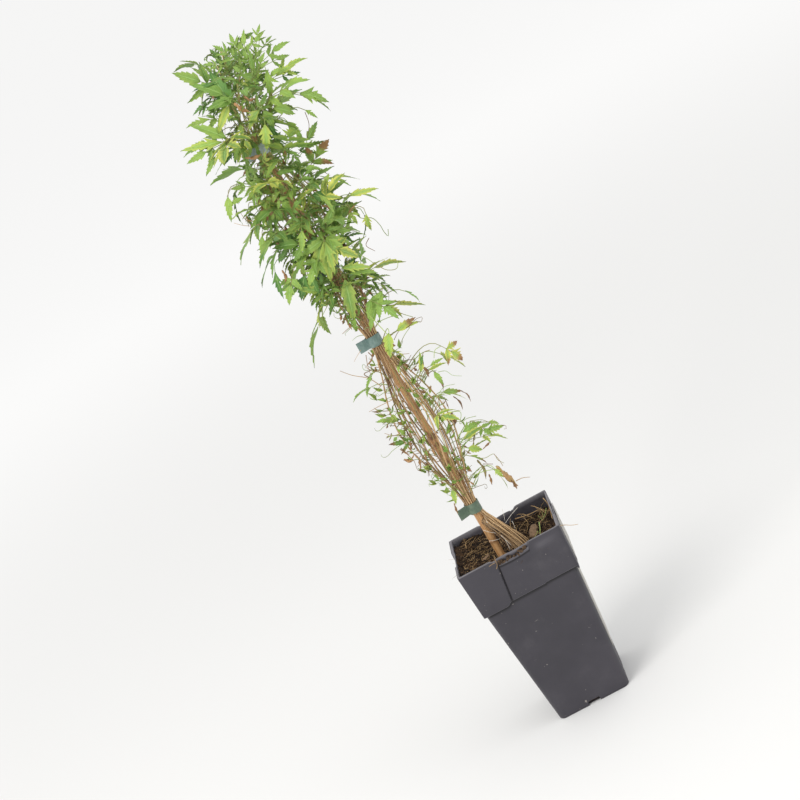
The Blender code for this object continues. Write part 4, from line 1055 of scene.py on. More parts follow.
def smooth_path(points, step):
    """Even steps along a cubic Hermite curve through the points, slopes by central difference."""
    points = np.asarray(points, float)
    runs = np.linalg.norm(np.diff(points, axis=0), axis=1)
    knots = np.concatenate([[0.0], np.cumsum(runs)])
    slopes = np.gradient(points, knots, axis=0)
    at = np.linspace(0, knots[-1], max(int(knots[-1] / step), 4) + 1)
    piece = np.clip(np.searchsorted(knots, at, side="right") - 1, 0, len(knots) - 2)
    span = (knots[piece + 1] - knots[piece])[:, None]
    s = (at - knots[piece])[:, None] / span
    return ((2 * s ** 3 - 3 * s ** 2 + 1) * points[piece]
            + (s ** 3 - 2 * s ** 2 + s) * span * slopes[piece]
            + (3 * s ** 2 - 2 * s ** 3) * points[piece + 1]
            + (s ** 3 - s ** 2) * span * slopes[piece + 1])


def round_rings(path, radii, sides):
    """Rings of points round a path: centre + radius times (side cos a + up sin a)."""
    tangent = np.gradient(path, axis=0)
    tangent /= np.linalg.norm(tangent, axis=1, keepdims=True) + 1e-12
    reference = np.eye(3)[int(np.argmin(np.abs(tangent).mean(axis=0)))]
    side = np.cross(reference, tangent)
    side /= np.linalg.norm(side, axis=1, keepdims=True) + 1e-12
    up = np.cross(tangent, side)
    turn = np.linspace(0, math.tau, sides, endpoint=False)[None, :, None]
    radii = np.broadcast_to(np.asarray(radii, float), (len(path),))[:, None, None]
    return path[:, None] + radii * (np.cos(turn) * side[:, None] + np.sin(turn) * up[:, None])


def roughen(path, rings, shares):
    """The rings with each point moved in or out from the path by its share."""
    return path[:, None] + (rings - path[:, None]) * shares


class Skin:
    """Collects closed ring surfaces, with their UV, tone, sharp rims and material, for one piece."""

    def __init__(self):
        self.points = []
        self.quads = []
        self.caps = []
        self.quad_slots = []
        self.cap_slots = []
        self.uvs = []
        self.tones = []
        self.rims = []
        self.size = 0

    def add(self, rings, slot=0, tone=(0, 0, 0), along=None, across=0.5, rim=None, closed=False):
        """Rings of points, row by row, joined by quads.

        The last row joins the first one where the surface is closed, and otherwise a cap shuts
        each end. Edges between points of one rim number stay sharp.
        """
        rows, sides = rings.shape[:2]
        index = self.size + np.arange(rows * sides).reshape(rows, sides)
        if closed:
            low, high = index, np.roll(index, -1, axis=0)
        else:
            low, high = index[:-1], index[1:]
            self.caps += [index[0, ::-1], index[-1]]
            self.cap_slots += [slot, slot]
        quads = np.stack([low, np.roll(low, -1, axis=1), np.roll(high, -1, axis=1), high], axis=-1)
        self.quads.append(quads.reshape(-1, 4))
        self.quad_slots.append(np.full(low.size, slot))
        self.points.append(rings.reshape(-1, 3))
        along = np.linspace(0, 1, rows) if along is None else along
        grid = np.empty((rows, sides, 2))
        grid[..., 0] = along[:, None]
        grid[..., 1] = across
        self.uvs.append(grid.reshape(-1, 2))
        tones = np.ones((rows, sides, 4))
        tone = np.asarray(tone, float)
        tones[..., :3] = tone if tone.ndim == 3 else tone.reshape(-1, 1, 3)
        self.tones.append(tones.reshape(-1, 4))
        rim = np.zeros(sides, int) if rim is None else rim
        self.rims.append(np.broadcast_to(rim, (rows, sides)).ravel())
        self.size += rows * sides

    def tube(self, path, radii, sides, slot, tone, along=None):
        """A round tube along a path."""
        self.add(round_rings(path, radii, sides), slot, tone, along)

    def piece(self, name, finishes):
        """The mesh object: every array is handed over whole."""
        mesh = bpy.data.meshes.new(name)
        points = np.concatenate(self.points).astype(np.float32)
        quads = np.concatenate(self.quads)
        loops = np.concatenate([quads.ravel()] + self.caps).astype(np.int32)
        sizes = np.concatenate([np.full(len(quads), 4),
                                np.array([len(cap) for cap in self.caps], int)])
        starts = np.concatenate([[0], np.cumsum(sizes)[:-1]]).astype(np.int32)
        slots = np.concatenate(self.quad_slots + [np.array(self.cap_slots, int)]).astype(np.int32)
        mesh.vertices.add(len(points))
        mesh.vertices.foreach_set("co", points.ravel())
        mesh.loops.add(len(loops))
        mesh.loops.foreach_set("vertex_index", loops)
        mesh.polygons.add(len(starts))
        mesh.polygons.foreach_set("loop_start", starts)
        mesh.polygons.foreach_set("material_index", slots)
        mesh.polygons.foreach_set("use_smooth", np.ones(len(starts), bool))
        mesh.update(calc_edges=True)
        uvs = np.concatenate(self.uvs)[loops].astype(np.float32)
        mesh.uv_layers.new(name="surface").data.foreach_set("uv", uvs.ravel())
        tones = np.concatenate(self.tones).astype(np.float32)
        mesh.color_attributes.new("tone", "FLOAT_COLOR", "POINT").data.foreach_set(
            "color", tones.ravel())
        ends = np.empty(len(mesh.edges) * 2, np.int32)
        mesh.edges.foreach_get("vertices", ends)
        rims = np.concatenate(self.rims)[ends.reshape(-1, 2)]
        sharp = (rims[:, 0] > 0) & (rims[:, 0] == rims[:, 1])
        mesh.attributes.new("sharp_edge", "BOOLEAN", "EDGE").data.foreach_set("value", sharp)
        for finish in finishes:
            mesh.materials.append(finish)
        mesh.validate()
        made = bpy.data.objects.new(name, mesh)
        bpy.context.scene.collection.objects.link(made)
        return made


def leaflet(skin, leaf, start, slant, reach, half, tone, draw, outline):
    """One leaflet: a flattened tube with six points a ring, in the plane of its leaf.

    Along its rib each row's half width is the outline's share, and the tips of the teeth lead
    their row. The halves fold up from the rib, wave a little, and the blade droops to its tip.
    """
    along, share, lead = np.array(outline).T
    width = share * half * (1 + draws(draw, -LEAFLET_UNEVEN, LEAFLET_UNEVEN, len(along)))
    x = along[:, None] * reach + (lead * reach)[:, None] * np.abs(RING_ACROSS)
    y = width[:, None] * RING_ACROSS
    fold = draw.uniform(*LEAFLET_FOLD)
    droop = draw.uniform(*LEAFLET_DROOP)
    wave = draw.uniform(*LEAFLET_WAVE) * half
    phase = draw.uniform(0, math.tau)
    thin = LEAF_HALF_THICKNESS * np.minimum(1.0, width / half + 0.25)[:, None]
    z = (fold * np.abs(y) - droop * reach * (along ** 2)[:, None]
         + wave * np.sin(phase + 9 * along)[:, None] * RING_ACROSS ** 2 + thin * RING_RISE)
    flat_x = start + x * math.cos(slant) - y * math.sin(slant)
    flat_y = x * math.sin(slant) + y * math.cos(slant)
    lift = z + leaf_arch(flat_x, flat_y, leaf["length"])
    across = np.cross(leaf["normal"], leaf["direction"])
    points = (leaf["base"] + flat_x[..., None] * leaf["direction"] + flat_y[..., None] * across
              + lift[..., None] * leaf["normal"])
    tones = np.tile(np.asarray(tone, float), (len(along), 1))
    tones[:, 2] = np.clip(tones[:, 2] * (0.25 + 1.5 * along ** 2), 0, 1)
    skin.add(points, LEAF, tones, along, (RING_ACROSS + 1) / 2, RING_RIM)


def fine_leaf(skin, leaf, tone, draw):
    """A leaf on its stalk: a curved stalk, a rib, side leaflets in pairs and an end leaflet."""
    skin.tube(stalk_curve(leaf, leaf["base"], 6), np.linspace(0.62, 0.42, 7) * MM, 5, STALK, tone)
    pairs = leaf["pairs"]
    length = leaf["length"]
    end_length = length * END_SHARE[pairs]
    half = HALF_WIDTH[pairs] * length * leaf["width"]
    if pairs:
        along = np.linspace(0, length - end_length * 0.9, 5)
        rib = (leaf["base"] + along[:, None] * leaf["direction"]
               + leaf_arch(along, 0.0, length)[:, None] * leaf["normal"])
        skin.tube(rib, 0.4 * MM, 5, STALK, tone)
    for pair, place in enumerate(PAIR_PLACES[pairs]):
        for side in (1, -1):
            slant = math.radians(SIDE_SLANT - SLANT_LESS * pair) + draw.uniform(-0.12, 0.12)
            reach = length * SIDE_REACH * (1 - REACH_LESS * pair) * draw.uniform(0.88, 1.1)
            if pairs == 3:
                reach *= CROWDED_REACH
            outline = LOBED_OUTLINE if draw.random() < LOBED_SHARE else FINE_OUTLINE
            leaflet(skin, leaf, (length - end_length) * place, side * slant, reach,
                    half * FINE_SIDE_WIDTH, tone, draw, outline)
    outline = LOBED_OUTLINE if draw.random() < (0.3 if pairs else 0.5) else FINE_OUTLINE
    leaflet(skin, leaf, length - end_length, draw.uniform(-0.08, 0.08), end_length, half, tone,
            draw, outline)


def leaf_tone(leaf, draw):
    """(brightness, yellow, brown) of a leaf: lighter to the outside as painted light, yellower and
    browner low.
    """
    high = int(leaf["base"][2] > FRESH_ABOVE)
    # Painted light: leaves far from the cane are lighter, those near it darker as painted shade
    bright = draw.uniform(0.15, 0.75) + OUTWARD_PAINTED_LIGHT * (off_cane(leaf["base"]) - 30 * MM)
    yellow = draw.uniform(0.0, 0.35)
    if draw.random() < YELLOW_SHARES[high]:
        yellow = draw.uniform(0.6, 1.0)
    brown = draw.uniform(0.5, 0.9) if draw.random() < BROWN_SHARES[high] else 0.0
    return np.clip([bright, yellow, brown], 0, 1)


def cells_of(leaf):
    """The cells that a leaf takes up."""
    return set(map(tuple, np.floor(leaf_samples(leaf) / FILL_CELL).astype(int)))


def fill_leaf(draw, low, high, sizes, choices, longest):
    """A small leaf drawn at random in a band, or none where it would reach too far."""
    level = draw.uniform(low, high) * MM
    number = draw.choice(reaching(level))
    attach = on_stem(number, level)
    turn = bearing(attach) + draw.uniform(-1.1, 1.1)
    stalk = draw.uniform(3, longest) * MM
    base = attach + ray(turn) * stalk + upward(draw.uniform(0.0, 0.9) * stalk)
    pitch = draw.uniform(*(FILL_TOP_PITCH if low > FILL_TOP_ZONE else FILL_PITCH))
    aim = ray(turn + draw.uniform(-0.9, 0.9), math.tan(math.radians(pitch)))
    tip = base + unit(aim) * draw.uniform(*sizes) * MM
    if tip[2] > FILL_HIGHEST or off_cane(tip) > FILL_FARTHEST:
        return None
    roll = draw.uniform(-FILL_ROLL, FILL_ROLL)
    return make_leaf(number, level, base, tip, draw.choice(choices), draw.uniform(*FILL_WIDTHS), roll)


def by_tie(z):
    """True where a height is beside a tie."""
    return any(abs(z - tie) < TIE_ROOM for tie in TIE_HEIGHTS)


def fill_leaves(draw, taken):
    """Smaller leaves between the main ones: tried at random, kept where few cells are taken."""
    filled = set()
    for leaf in taken:
        filled |= cells_of(leaf)
    leaves = []
    for low, high, count, sizes, choices, longest in FILL_BANDS:
        made = 0
        for _ in range(count * FILL_TRIES):
            if made == count:
                break
            leaf = fill_leaf(draw, low, high, sizes, choices, longest)
            if leaf is None or (by_tie(leaf["base"][2]) and draw.random() < TIE_SKIPPED):
                continue
            cells = cells_of(dict(leaf, pairs=min(leaf["pairs"], 2)))
            if len(cells & filled) > FILL_SHARE * len(cells):
                continue
            filled |= cells
            leaves.append(leaf)
            made += 1
    return leaves


def fine_stem(skin, number, draw):
    """A round stem through its solid's ring centres, swollen a little at its joints."""
    path = straight_foot(smooth_path(STEM_LINES[number], PATH_STEP), number)
    height = path[:, 2]
    rows = len(path)
    radius = np.interp(height, [SOIL_TOP, CANE_TOP], [STEM_RADIUS_FOOT, STEM_RADIUS_TIP])
    joint = (height - SOIL_TOP) / JOINT_STEP + draw.uniform(0, 1)
    swell = bell(joint - np.round(joint), JOINT_WIDTH)
    rough = draws(draw, -0.08, 0.08, rows)
    thin = np.interp(height, [TIE_HEIGHTS[0] - 14 * MM, TIE_HEIGHTS[0] + 30 * MM], [FOOT_THINNER, 1])
    radius = radius * thin * (STEM_SHARE + JOINT_SWELL * swell + rough)
    tone = np.zeros((rows, 3))
    # Darkness of the stem: partly its own bark, partly painted shade for the gaps in the bundle
    tone[:, 0] = draw.choice(STEM_TONES_WITH_SHADE)
    tone[:, 1] = np.clip((height - FRESH_ABOVE) / GREENING, 0, 1) * draw.uniform(0.3, 1.0)
    skin.tube(path, radius, STEM_SIDES, WOOD, tone, height / (100 * MM))


class Recipe:
    """A procedural material that is built up node by node."""

    def __init__(self, name):
        self.made = bpy.data.materials.new(name)
        self.made.use_nodes = True
        self.tree = self.made.node_tree
        self.shader = self.tree.nodes["Principled BSDF"]
        self.place = self.tree.nodes.new("ShaderNodeTexCoord").outputs["Object"]

    def join(self, value, socket):
        """Links a socket, or sets a number or a colour."""
        if isinstance(value, bpy.types.NodeSocket):
            self.tree.links.new(value, socket)
        elif isinstance(value, tuple) and len(value) == 3 and socket.type == "RGBA":
            socket.default_value = (*value, 1.0)
        elif value is not None:
            socket.default_value = value

    def maths(self, kind, first, second=None, third=None, clamp=False):
        step = self.tree.nodes.new("ShaderNodeMath")
        step.operation = kind
        step.use_clamp = clamp
        for socket, value in zip(step.inputs, (first, second, third)):
            self.join(value, socket)
        return step.outputs[0]

    def times(self, first, second, clamp=False):
        return self.maths("MULTIPLY", first, second, clamp=clamp)

    def plus(self, first, second, clamp=False):
        return self.maths("ADD", first, second, clamp=clamp)

    def scaled(self, value, factor, added, clamp=False):
        """The value times a factor, with a number or socket added."""
        return self.maths("MULTIPLY_ADD", value, factor, added, clamp)

    def noise(self, scale, detail, rough=0.5, vector=None):
        step = self.tree.nodes.new("ShaderNodeTexNoise")
        self.join(vector or self.place, step.inputs["Vector"])
        step.inputs["Scale"].default_value = scale
        step.inputs["Detail"].default_value = detail
        step.inputs["Roughness"].default_value = rough
        return step.outputs["Fac"]

    def streaks(self, scales, detail, rough=0.6):
        """Noise with its own scale along each axis."""
        step = self.tree.nodes.new("ShaderNodeMapping")
        self.join(self.place, step.inputs["Vector"])
        step.inputs["Scale"].default_value = scales
        return self.noise(1.0, detail, rough, step.outputs[0])

    def between(self, value, low, high, out_low=0.0, out_high=1.0):
        """The value's share of the way from low to high, eased, as a number from out_low."""
        step = self.tree.nodes.new("ShaderNodeMapRange")
        step.interpolation_type = "SMOOTHSTEP"
        for socket, number in zip(step.inputs, (value, low, high, out_low, out_high)):
            self.join(number, socket)
        return step.outputs[0]

    def mix(self, share, first, second):
        """The first colour, and the second one where the share is 1."""
        step = self.tree.nodes.new("ShaderNodeMix")
        step.data_type = "RGBA"
        self.join(share, step.inputs["Factor"])
        for name, value in (("A", first), ("B", second)):
            self.join(value, [s for s in step.inputs if s.name == name and s.type == "RGBA"][0])
        return [s for s in step.outputs if s.type == "RGBA"][0]

    def cover(self, colour, over, where, most):
        """The colour, covered by another where a share says, up to a greatest share."""
        return self.mix(self.times(where, most), colour, over)

    def split(self, kind, value):
        step = self.tree.nodes.new(kind)
        self.join(value, step.inputs[0])
        return step.outputs[:3]

    def tone(self):
        """The three channels of the piece's tone."""
        step = self.tree.nodes.new("ShaderNodeAttribute")
        step.attribute_name = "tone"
        return self.split("ShaderNodeSeparateColor", step.outputs["Color"])

    def surface_map(self):
        """Along and across a leaf or a stem."""
        step = self.tree.nodes.new("ShaderNodeUVMap")
        step.uv_map = "surface"
        return self.split("ShaderNodeSeparateXYZ", step.outputs[0])[:2]

    def height(self):
        return self.split("ShaderNodeSeparateXYZ", self.place)[2]

    def finish(self, colour, roughness, bump=None, bump_depth=0.0005, specular=0.5):
        """Sets the colour, roughness and relief, and gives back the material."""
        self.join(colour, self.shader.inputs["Base Color"])
        self.join(roughness, self.shader.inputs["Roughness"])
        self.shader.inputs["Specular IOR Level"].default_value = specular
        if bump is not None:
            step = self.tree.nodes.new("ShaderNodeBump")
            step.inputs["Distance"].default_value = bump_depth
            self.join(bump, step.inputs["Height"])
            self.join(step.outputs[0], self.shader.inputs["Normal"])
        return self.made


def leaf_finish():
    """Leaf green: pale rib and side veins, yellow rims and dry brown tips by the leaf's tone."""
    mat = Recipe("leaf_green")
    bright, yellow, brown = mat.tone()
    along, across = mat.surface_map()
    edge = mat.maths("ABSOLUTE", mat.scaled(across, 2.0, -1.0))
    patch = mat.noise(45, 3, 0.55)
    shade = mat.plus(bright, mat.scaled(patch, 0.7, -0.35), clamp=True)
    green = mat.mix(shade, LEAF_DEEP, LEAF_LIGHT)
    rim = mat.between(mat.plus(edge, mat.times(patch, 1.4)), 0.55, 1.75)
    green = mat.cover(green, LEAF_YELLOW, yellow, rim)
    rib = mat.between(edge, 0.16, 0.03)
    chevron = mat.times(mat.scaled(edge, -0.28, along), 9.0)
    middle = mat.maths("SUBTRACT", mat.maths("FRACT", chevron), 0.5)
    veins = mat.between(mat.maths("ABSOLUTE", middle), 0.12, 0.02)
    pale = mat.maths("MAXIMUM", rib, mat.times(veins, 0.35))
    green = mat.cover(green, VEIN_GREEN, pale, 0.45)
    dry = mat.between(mat.scaled(patch, 0.35, brown), 0.45, 0.75)
    mottle = mat.scaled(mat.noise(160, 2), 0.8, -0.25)
    rust = mat.mix(mat.scaled(bright, 0.7, mottle, clamp=True), RUST_DARK, RUST_LIGHT)
    relief = mat.plus(mat.times(mat.maths("MAXIMUM", rib, veins), -0.6),
                      mat.times(mat.noise(420, 2), 0.5))
    return mat.finish(mat.mix(dry, green, rust), mat.between(patch, 0.2, 0.8, 0.42, 0.62), relief,
                      0.0005, 0.4)


def stalk_finish():
    """Leaf stalks: thin and green, browner low down and where the noise is high."""
    mat = Recipe("stalk_green")
    bright, _, brown = mat.tone()
    young = mat.mix(bright, STALK_DEEP, STALK_LIGHT)
    patch = mat.times(mat.between(mat.noise(30, 3), 0.45, 0.65), 0.7)
    colour = mat.mix(mat.maths("MAXIMUM", patch, brown), young, STALK_BROWN)
    return mat.finish(colour, 0.5, mat.noise(500, 2), 0.0003, 0.4)


def stem_finish():
    """Stem bark: tan to dark brown fibres along the stem, greener towards the top; darker stems are
    partly painted shade between the stems.
    """
    mat = Recipe("stem_bark")
    dark, green, _ = mat.tone()
    fibres = mat.streaks((1500, 1500, 60), 4)
    patch = mat.scaled(mat.noise(22, 3, 0.6), 0.9, -1.0)
    shade = mat.plus(mat.times(dark, 0.85), mat.scaled(fibres, 0.9, patch), clamp=True)
    wood = mat.mix(shade, BARK_TAN, BARK_DARK)
    return mat.finish(mat.cover(wood, BARK_GREEN, green, 0.8), 0.72, fibres, 0.0005, 0.3)


def plastic_finish():
    """Pot plastic: dull slate grey with a fine grain, faint flow marks, dust, specks and scuffs.

    The tone's first channel is wear and painted highlight on the edges, and its second one painted
    shade.
    """
    mat = Recipe("pot_plastic")
    wear_and_highlight, shade, _ = mat.tone()
    broad = mat.noise(9, 4, 0.6)
    flow = mat.streaks((30, 30, 7), 3, 0.5)
    dust = mat.between(mat.noise(16, 5, 0.7), 0.52, 0.80)
    speck = mat.times(mat.between(mat.noise(170, 2), 0.735, 0.79), 0.55)
    scuff = mat.times(mat.between(mat.streaks((60, 60, 260), 3), 0.70, 0.82), 0.25)
    colour = mat.mix(mat.between(broad, 0.3, 0.75), PLASTIC_DARK, PLASTIC_LIGHT)
    colour = mat.cover(colour, PLASTIC_DUST, dust, 0.16)
    colour = mat.mix(mat.maths("MAXIMUM", speck, scuff), colour, PLASTIC_SPECK)
    # Paler grey: painted highlight on the rims' and lips' edges, and wear at a scuffed corner
    colour = mat.cover(colour, PLASTIC_WEAR_AND_HIGHLIGHT, wear_and_highlight, mat.between(broad, 0.2, 0.8, 0.25, 0.7))
    # Painted shade: near black where the tone's second channel says
    colour = mat.cover(colour, PLASTIC_SHADE, shade, 0.93)
    rough = mat.plus(mat.between(flow, 0.3, 0.7, 0.42, 0.56), mat.times(dust, 0.2), clamp=True)
    relief = mat.plus(mat.times(mat.noise(900, 2, 0.6), 0.35), mat.times(flow, 0.9))
    return mat.finish(colour, rough, relief, 0.00035, 0.45)


def soil_finish():
    """Potting mix: near black with brown crumbs and tan flecks of fibre."""
    mat = Recipe("potting_mix")
    crumb = mat.noise(260, 4, 0.7)
    patch = mat.between(mat.noise(28, 4, 0.6), 0.5, 0.7)
    fleck = mat.between(mat.streaks((420, 900, 500), 3), 0.62, 0.70)
    colour = mat.mix(mat.between(crumb, 0.35, 0.62), SOIL_BLACK, SOIL_BROWN)
    colour = mat.cover(colour, SOIL_PATCH, patch, 0.35)
    colour = mat.cover(colour, SOIL_FLECK, fleck, 0.75)
    return mat.finish(colour, 0.95, crumb, 0.002, 0.2)


def crumb_finish():
    """Crumbs and bark: dark to reddish brown by the piece's tone."""
    mat = Recipe("mix_crumb")
    grain = mat.streaks((500, 200, 700), 4, 0.65)
    share = mat.times(mat.tone()[0], grain, clamp=True)
    return mat.finish(mat.mix(share, CRUMB_DARK, CRUMB_LIGHT), 0.9, grain, 0.0008, 0.25)


def fibre_finish():
    """Dry fibres and straw: dark brown to pale gold by the strand's tone."""
    mat = Recipe("mix_fibre")
    grain = mat.noise(300, 3, 0.6)
    shade = mat.scaled(grain, 0.5, mat.maths("SUBTRACT", mat.tone()[0], 0.25), clamp=True)
    return mat.finish(mat.mix(shade, FIBRE_DARK, FIBRE_GOLD), 0.7, grain, 0.0004, 0.35)


def root_finish():
    """Fine pale roots."""
    mat = Recipe("root_pale")
    grain = mat.noise(220, 2)
    return mat.finish(mat.mix(grain, ROOT_DULL, ROOT_PALE), 0.6, grain, 0.0003)


def cane_finish():
    """Bamboo: orange brown with long fibres, dark blotches, grey scars and darker joints."""
    mat = Recipe("bamboo")
    joint = mat.tone()[0]
    fibres = mat.streaks((1400, 1400, 26), 4)
    streak = mat.streaks((330, 330, 9), 3)
    height = mat.height()
    low_dark = mat.times(mat.between(height, 0.33, 0.37), mat.between(height, 0.46, 0.41))
    dark = mat.plus(mat.streaks((90, 90, 34), 4, 0.7), mat.times(low_dark, 0.16))
    pale = mat.between(mat.streaks((120, 120, 18), 3), 0.62, 0.76)
    colour = mat.mix(mat.between(streak, 0.3, 0.7), CANE_ORANGE, CANE_GOLD)
    colour = mat.cover(colour, CANE_FIBRE, mat.between(fibres, 0.35, 0.7), 0.35)
    colour = mat.cover(colour, CANE_BLOTCH, mat.between(dark, 0.62, 0.74), 0.8)
    colour = mat.cover(colour, CANE_JOINT, joint, 0.6)
    colour = mat.cover(colour, CANE_SCAR, pale, 0.4)
    return mat.finish(colour, mat.between(streak, 0.2, 0.8, 0.36, 0.6), fibres, 0.0004, 0.45)


def tape_finish(name, dull, light):
    """Tape: thin green film with stretch lines across it and dusty, paler places."""
    mat = Recipe(name)
    stretch = mat.streaks((500, 500, 90), 3)
    colour = mat.mix(mat.between(mat.noise(70, 3, 0.6), 0.35, 0.7), dull, light)
    return mat.finish(colour, mat.between(stretch, 0.3, 0.7, 0.3, 0.5), stretch)


def label_finish():
    """Bare label: warm white film, darkened as painted shade, with faint grey smudges and soil specks.
    """
    mat = Recipe("bare_label")
    smudge = mat.between(mat.noise(26, 5, 0.65), 0.45, 0.75)
    speck = mat.between(mat.noise(210, 2), 0.70, 0.75)
    # Painted shade: the label's white is darkened
    colour = mat.mix(mat.times(smudge, 0.35), LABEL_SHADED_WHITE, LABEL_SMUDGE)
    colour = mat.cover(colour, LABEL_SPECK, speck, 0.7)
    return mat.finish(colour, mat.between(smudge, 0, 1, 0.6, 0.75), mat.noise(120, 3), 0.0003, 0.15)


def camera_axes():
    """The camera's right, up and backward directions, from its azimuth, elevation and roll."""
    azimuth = math.radians(CAMERA_AZIMUTH)
    elevation = math.radians(CAMERA_ELEVATION)
    back = Vector((math.sin(azimuth) * math.cos(elevation),
                   -math.cos(azimuth) * math.cos(elevation), math.sin(elevation)))
    level = Vector((math.cos(azimuth), math.sin(azimuth), 0))
    upright = back.cross(level)
    roll = math.radians(CAMERA_ROLL)
    right = level * math.cos(roll) + upright * math.sin(roll)
    return right, back.cross(right), back


def seen_point(spot, forward):
    """The point of the plane this far in front of the cane's foot that the picture shows at a spot.

    The spot is in pixels of the 800 pixel picture; the ray leaves the camera through it.
    """
    right, up, back = camera_axes()
    focal = CAMERA_LENS / SENSOR_WIDTH * PICTURE_SIDE
    middle = PICTURE_SIDE / 2
    line = right * (spot[0] - middle) - up * (spot[1] - middle) - back * focal
    turn = math.radians(CAMERA_AZIMUTH)
    ahead = Vector((math.sin(turn), -math.cos(turn), 0))
    place = Vector(CAMERA_PLACE)
    share = (forward * MM - place.dot(ahead)) / line.dot(ahead)
    return np.array(place + line * share)


def body_half(z):
    """Half the width of the pot's tapered body at a height."""
    return (BASE_WIDTH + (BODY_TOP_WIDTH - BASE_WIDTH) * z / POT_HEIGHT) / 2


def body_bow(across, z):
    """How far the body's sides bulge between the base and the collar."""
    return BODY_BOW * np.sin(np.pi * np.clip(z / FLAP_BOTTOM, 0, 1)) * bell(across, BODY_BOW_REACH)


def collar_half(z):
    """Half the width of the collar at a height."""
    share = (z - POT_HEIGHT + COLLAR_HEIGHT) / COLLAR_HEIGHT
    return (COLLAR_BOTTOM_WIDTH + (RIM_WIDTH - COLLAR_BOTTOM_WIDTH) * share) / 2


def side_parameter():
    """One side of the pot as (place across it, corner turn): flat columns and then a corner arc."""
    flat = np.stack([POT_COLUMNS, np.zeros(len(POT_COLUMNS))], axis=1)
    turns = np.linspace(0, math.pi / 2, CORNER_STEPS + 1)
    arc = np.stack([np.full(len(turns), np.inf), turns], axis=1)
    return np.concatenate([flat, arc])


def square_side(halves, corners, turn):
    """One side of rings round a rounded square, turned about Z by quarter turns.

    Flat columns are at (place, -half). The arc after them is centred at (half - corner) each way:
    x = half - corner + corner sin a, y = -(half - corner) - corner cos a.
    """
    side = side_parameter()
    flat = np.isfinite(side[:, 0])
    inner = halves - corners
    x = np.where(flat, np.where(flat, side[:, 0], 0), inner + corners * np.sin(side[:, 1]))
    y = np.where(flat, -halves, -inner - corners * np.cos(side[:, 1]))
    return quarter(x, y, turn)


def side_places():
    """Places across the side for every column of a ring: half of each arc is the next side's."""
    side = side_parameter()
    arc = np.where(side[:, 1] < math.pi / 4, 60 * MM, -60 * MM)
    return np.tile(np.where(np.isfinite(side[:, 0]), side[:, 0], arc), 4)


def flap_edge(z):
    """Where the flap's upright edge stands: it slants out to the left on its way down."""
    share = (z - FLAP_BOTTOM) / (POT_HEIGHT - FLAP_BOTTOM)
    return FLAP_LOW_EDGE + (FLAP_TOP_EDGE - FLAP_LOW_EDGE) * share


def collar_bottom(across):
    """The collar's lower edge.

    The flap hangs lowest, with a rounded corner, and the right face ends a little above the
    face beside it.
    """
    into = np.clip(across - (FLAP_LOW_EDGE - FLAP_CORNER), 0, FLAP_CORNER)
    flap = FLAP_BOTTOM + FLAP_CORNER - np.sqrt(FLAP_CORNER ** 2 - into ** 2)
    face = FACE_BOTTOM + (FACE_RIGHT_BOTTOM - FACE_BOTTOM) * step_up(across, PANEL_RIGHT, 2 * MM)
    return np.where(across < FLAP_LOW_EDGE, np.minimum(flap, FACE_BOTTOM), face)


def collar_faces(across, z):
    """How far the collar's faces stand out over the body at a place on a side.

    The outermost face shows: the left flap, with a rounded lower corner, the face behind it or
    the right face. A groove runs down beside the flap's edge and a seam beside the right face.
    """
    stand = collar_half(z) - body_half(z)
    beside = across - flap_edge(z)
    low_corner = np.hypot(np.maximum(beside + FLAP_CORNER, 0),
                          np.maximum(FLAP_BOTTOM + FLAP_CORNER - z, 0))
    flap = step_up(FLAP_CORNER - low_corner, 0, EDGE_SOFTNESS)
    groove = GROOVE_DEPTH * bell(beside - GROOVE_DEPTH, GROOVE_WIDTH)
    seam = SEAM_DEPTH * bell(across - PANEL_RIGHT + 0.2 * MM, GROOVE_WIDTH)
    behind = stand - PANEL_RECESS - groove
    right = (stand - FACE_RIGHT_RECESS) * step_up(across, PANEL_RIGHT, EDGE_SOFTNESS) - seam
    return np.maximum(np.maximum(behind, right), (stand + FLAP_STAND) * flap)


def rim_heights(across):
    """The outer and the inner rim: between the faces the outer skin is cut down in an arc."""
    left = FLAP_TOP_EDGE
    half = (SCOOP_END - left) / 2
    inside = step_up(across, left, 0.8 * MM) * (1 - step_up(across, SCOOP_END - 1 * MM, 4 * MM))
    arc = 1 - np.clip(np.abs(across - left - half) / half, 0, 1) ** 2
    end = SCOOP_LEFT + (SCOOP_RIGHT - SCOOP_LEFT) * np.clip((across - left) / (2 * half), 0, 1)
    wave = 0.35 * MM * np.sin(across / (5.5 * MM))
    near = np.clip((across - left) / FLAP_SAG_REACH + 1, 0, 1) * (across < left + 2 * MM)
    sag = FLAP_SAG * near ** 2.2 * (1 - inside)
    outer = POT_HEIGHT - inside * (end + SCOOP_ARC * arc) - sag
    return outer, POT_HEIGHT - np.maximum(inside * (1.2 * MM + wave), np.minimum(sag, 2.4 * MM))


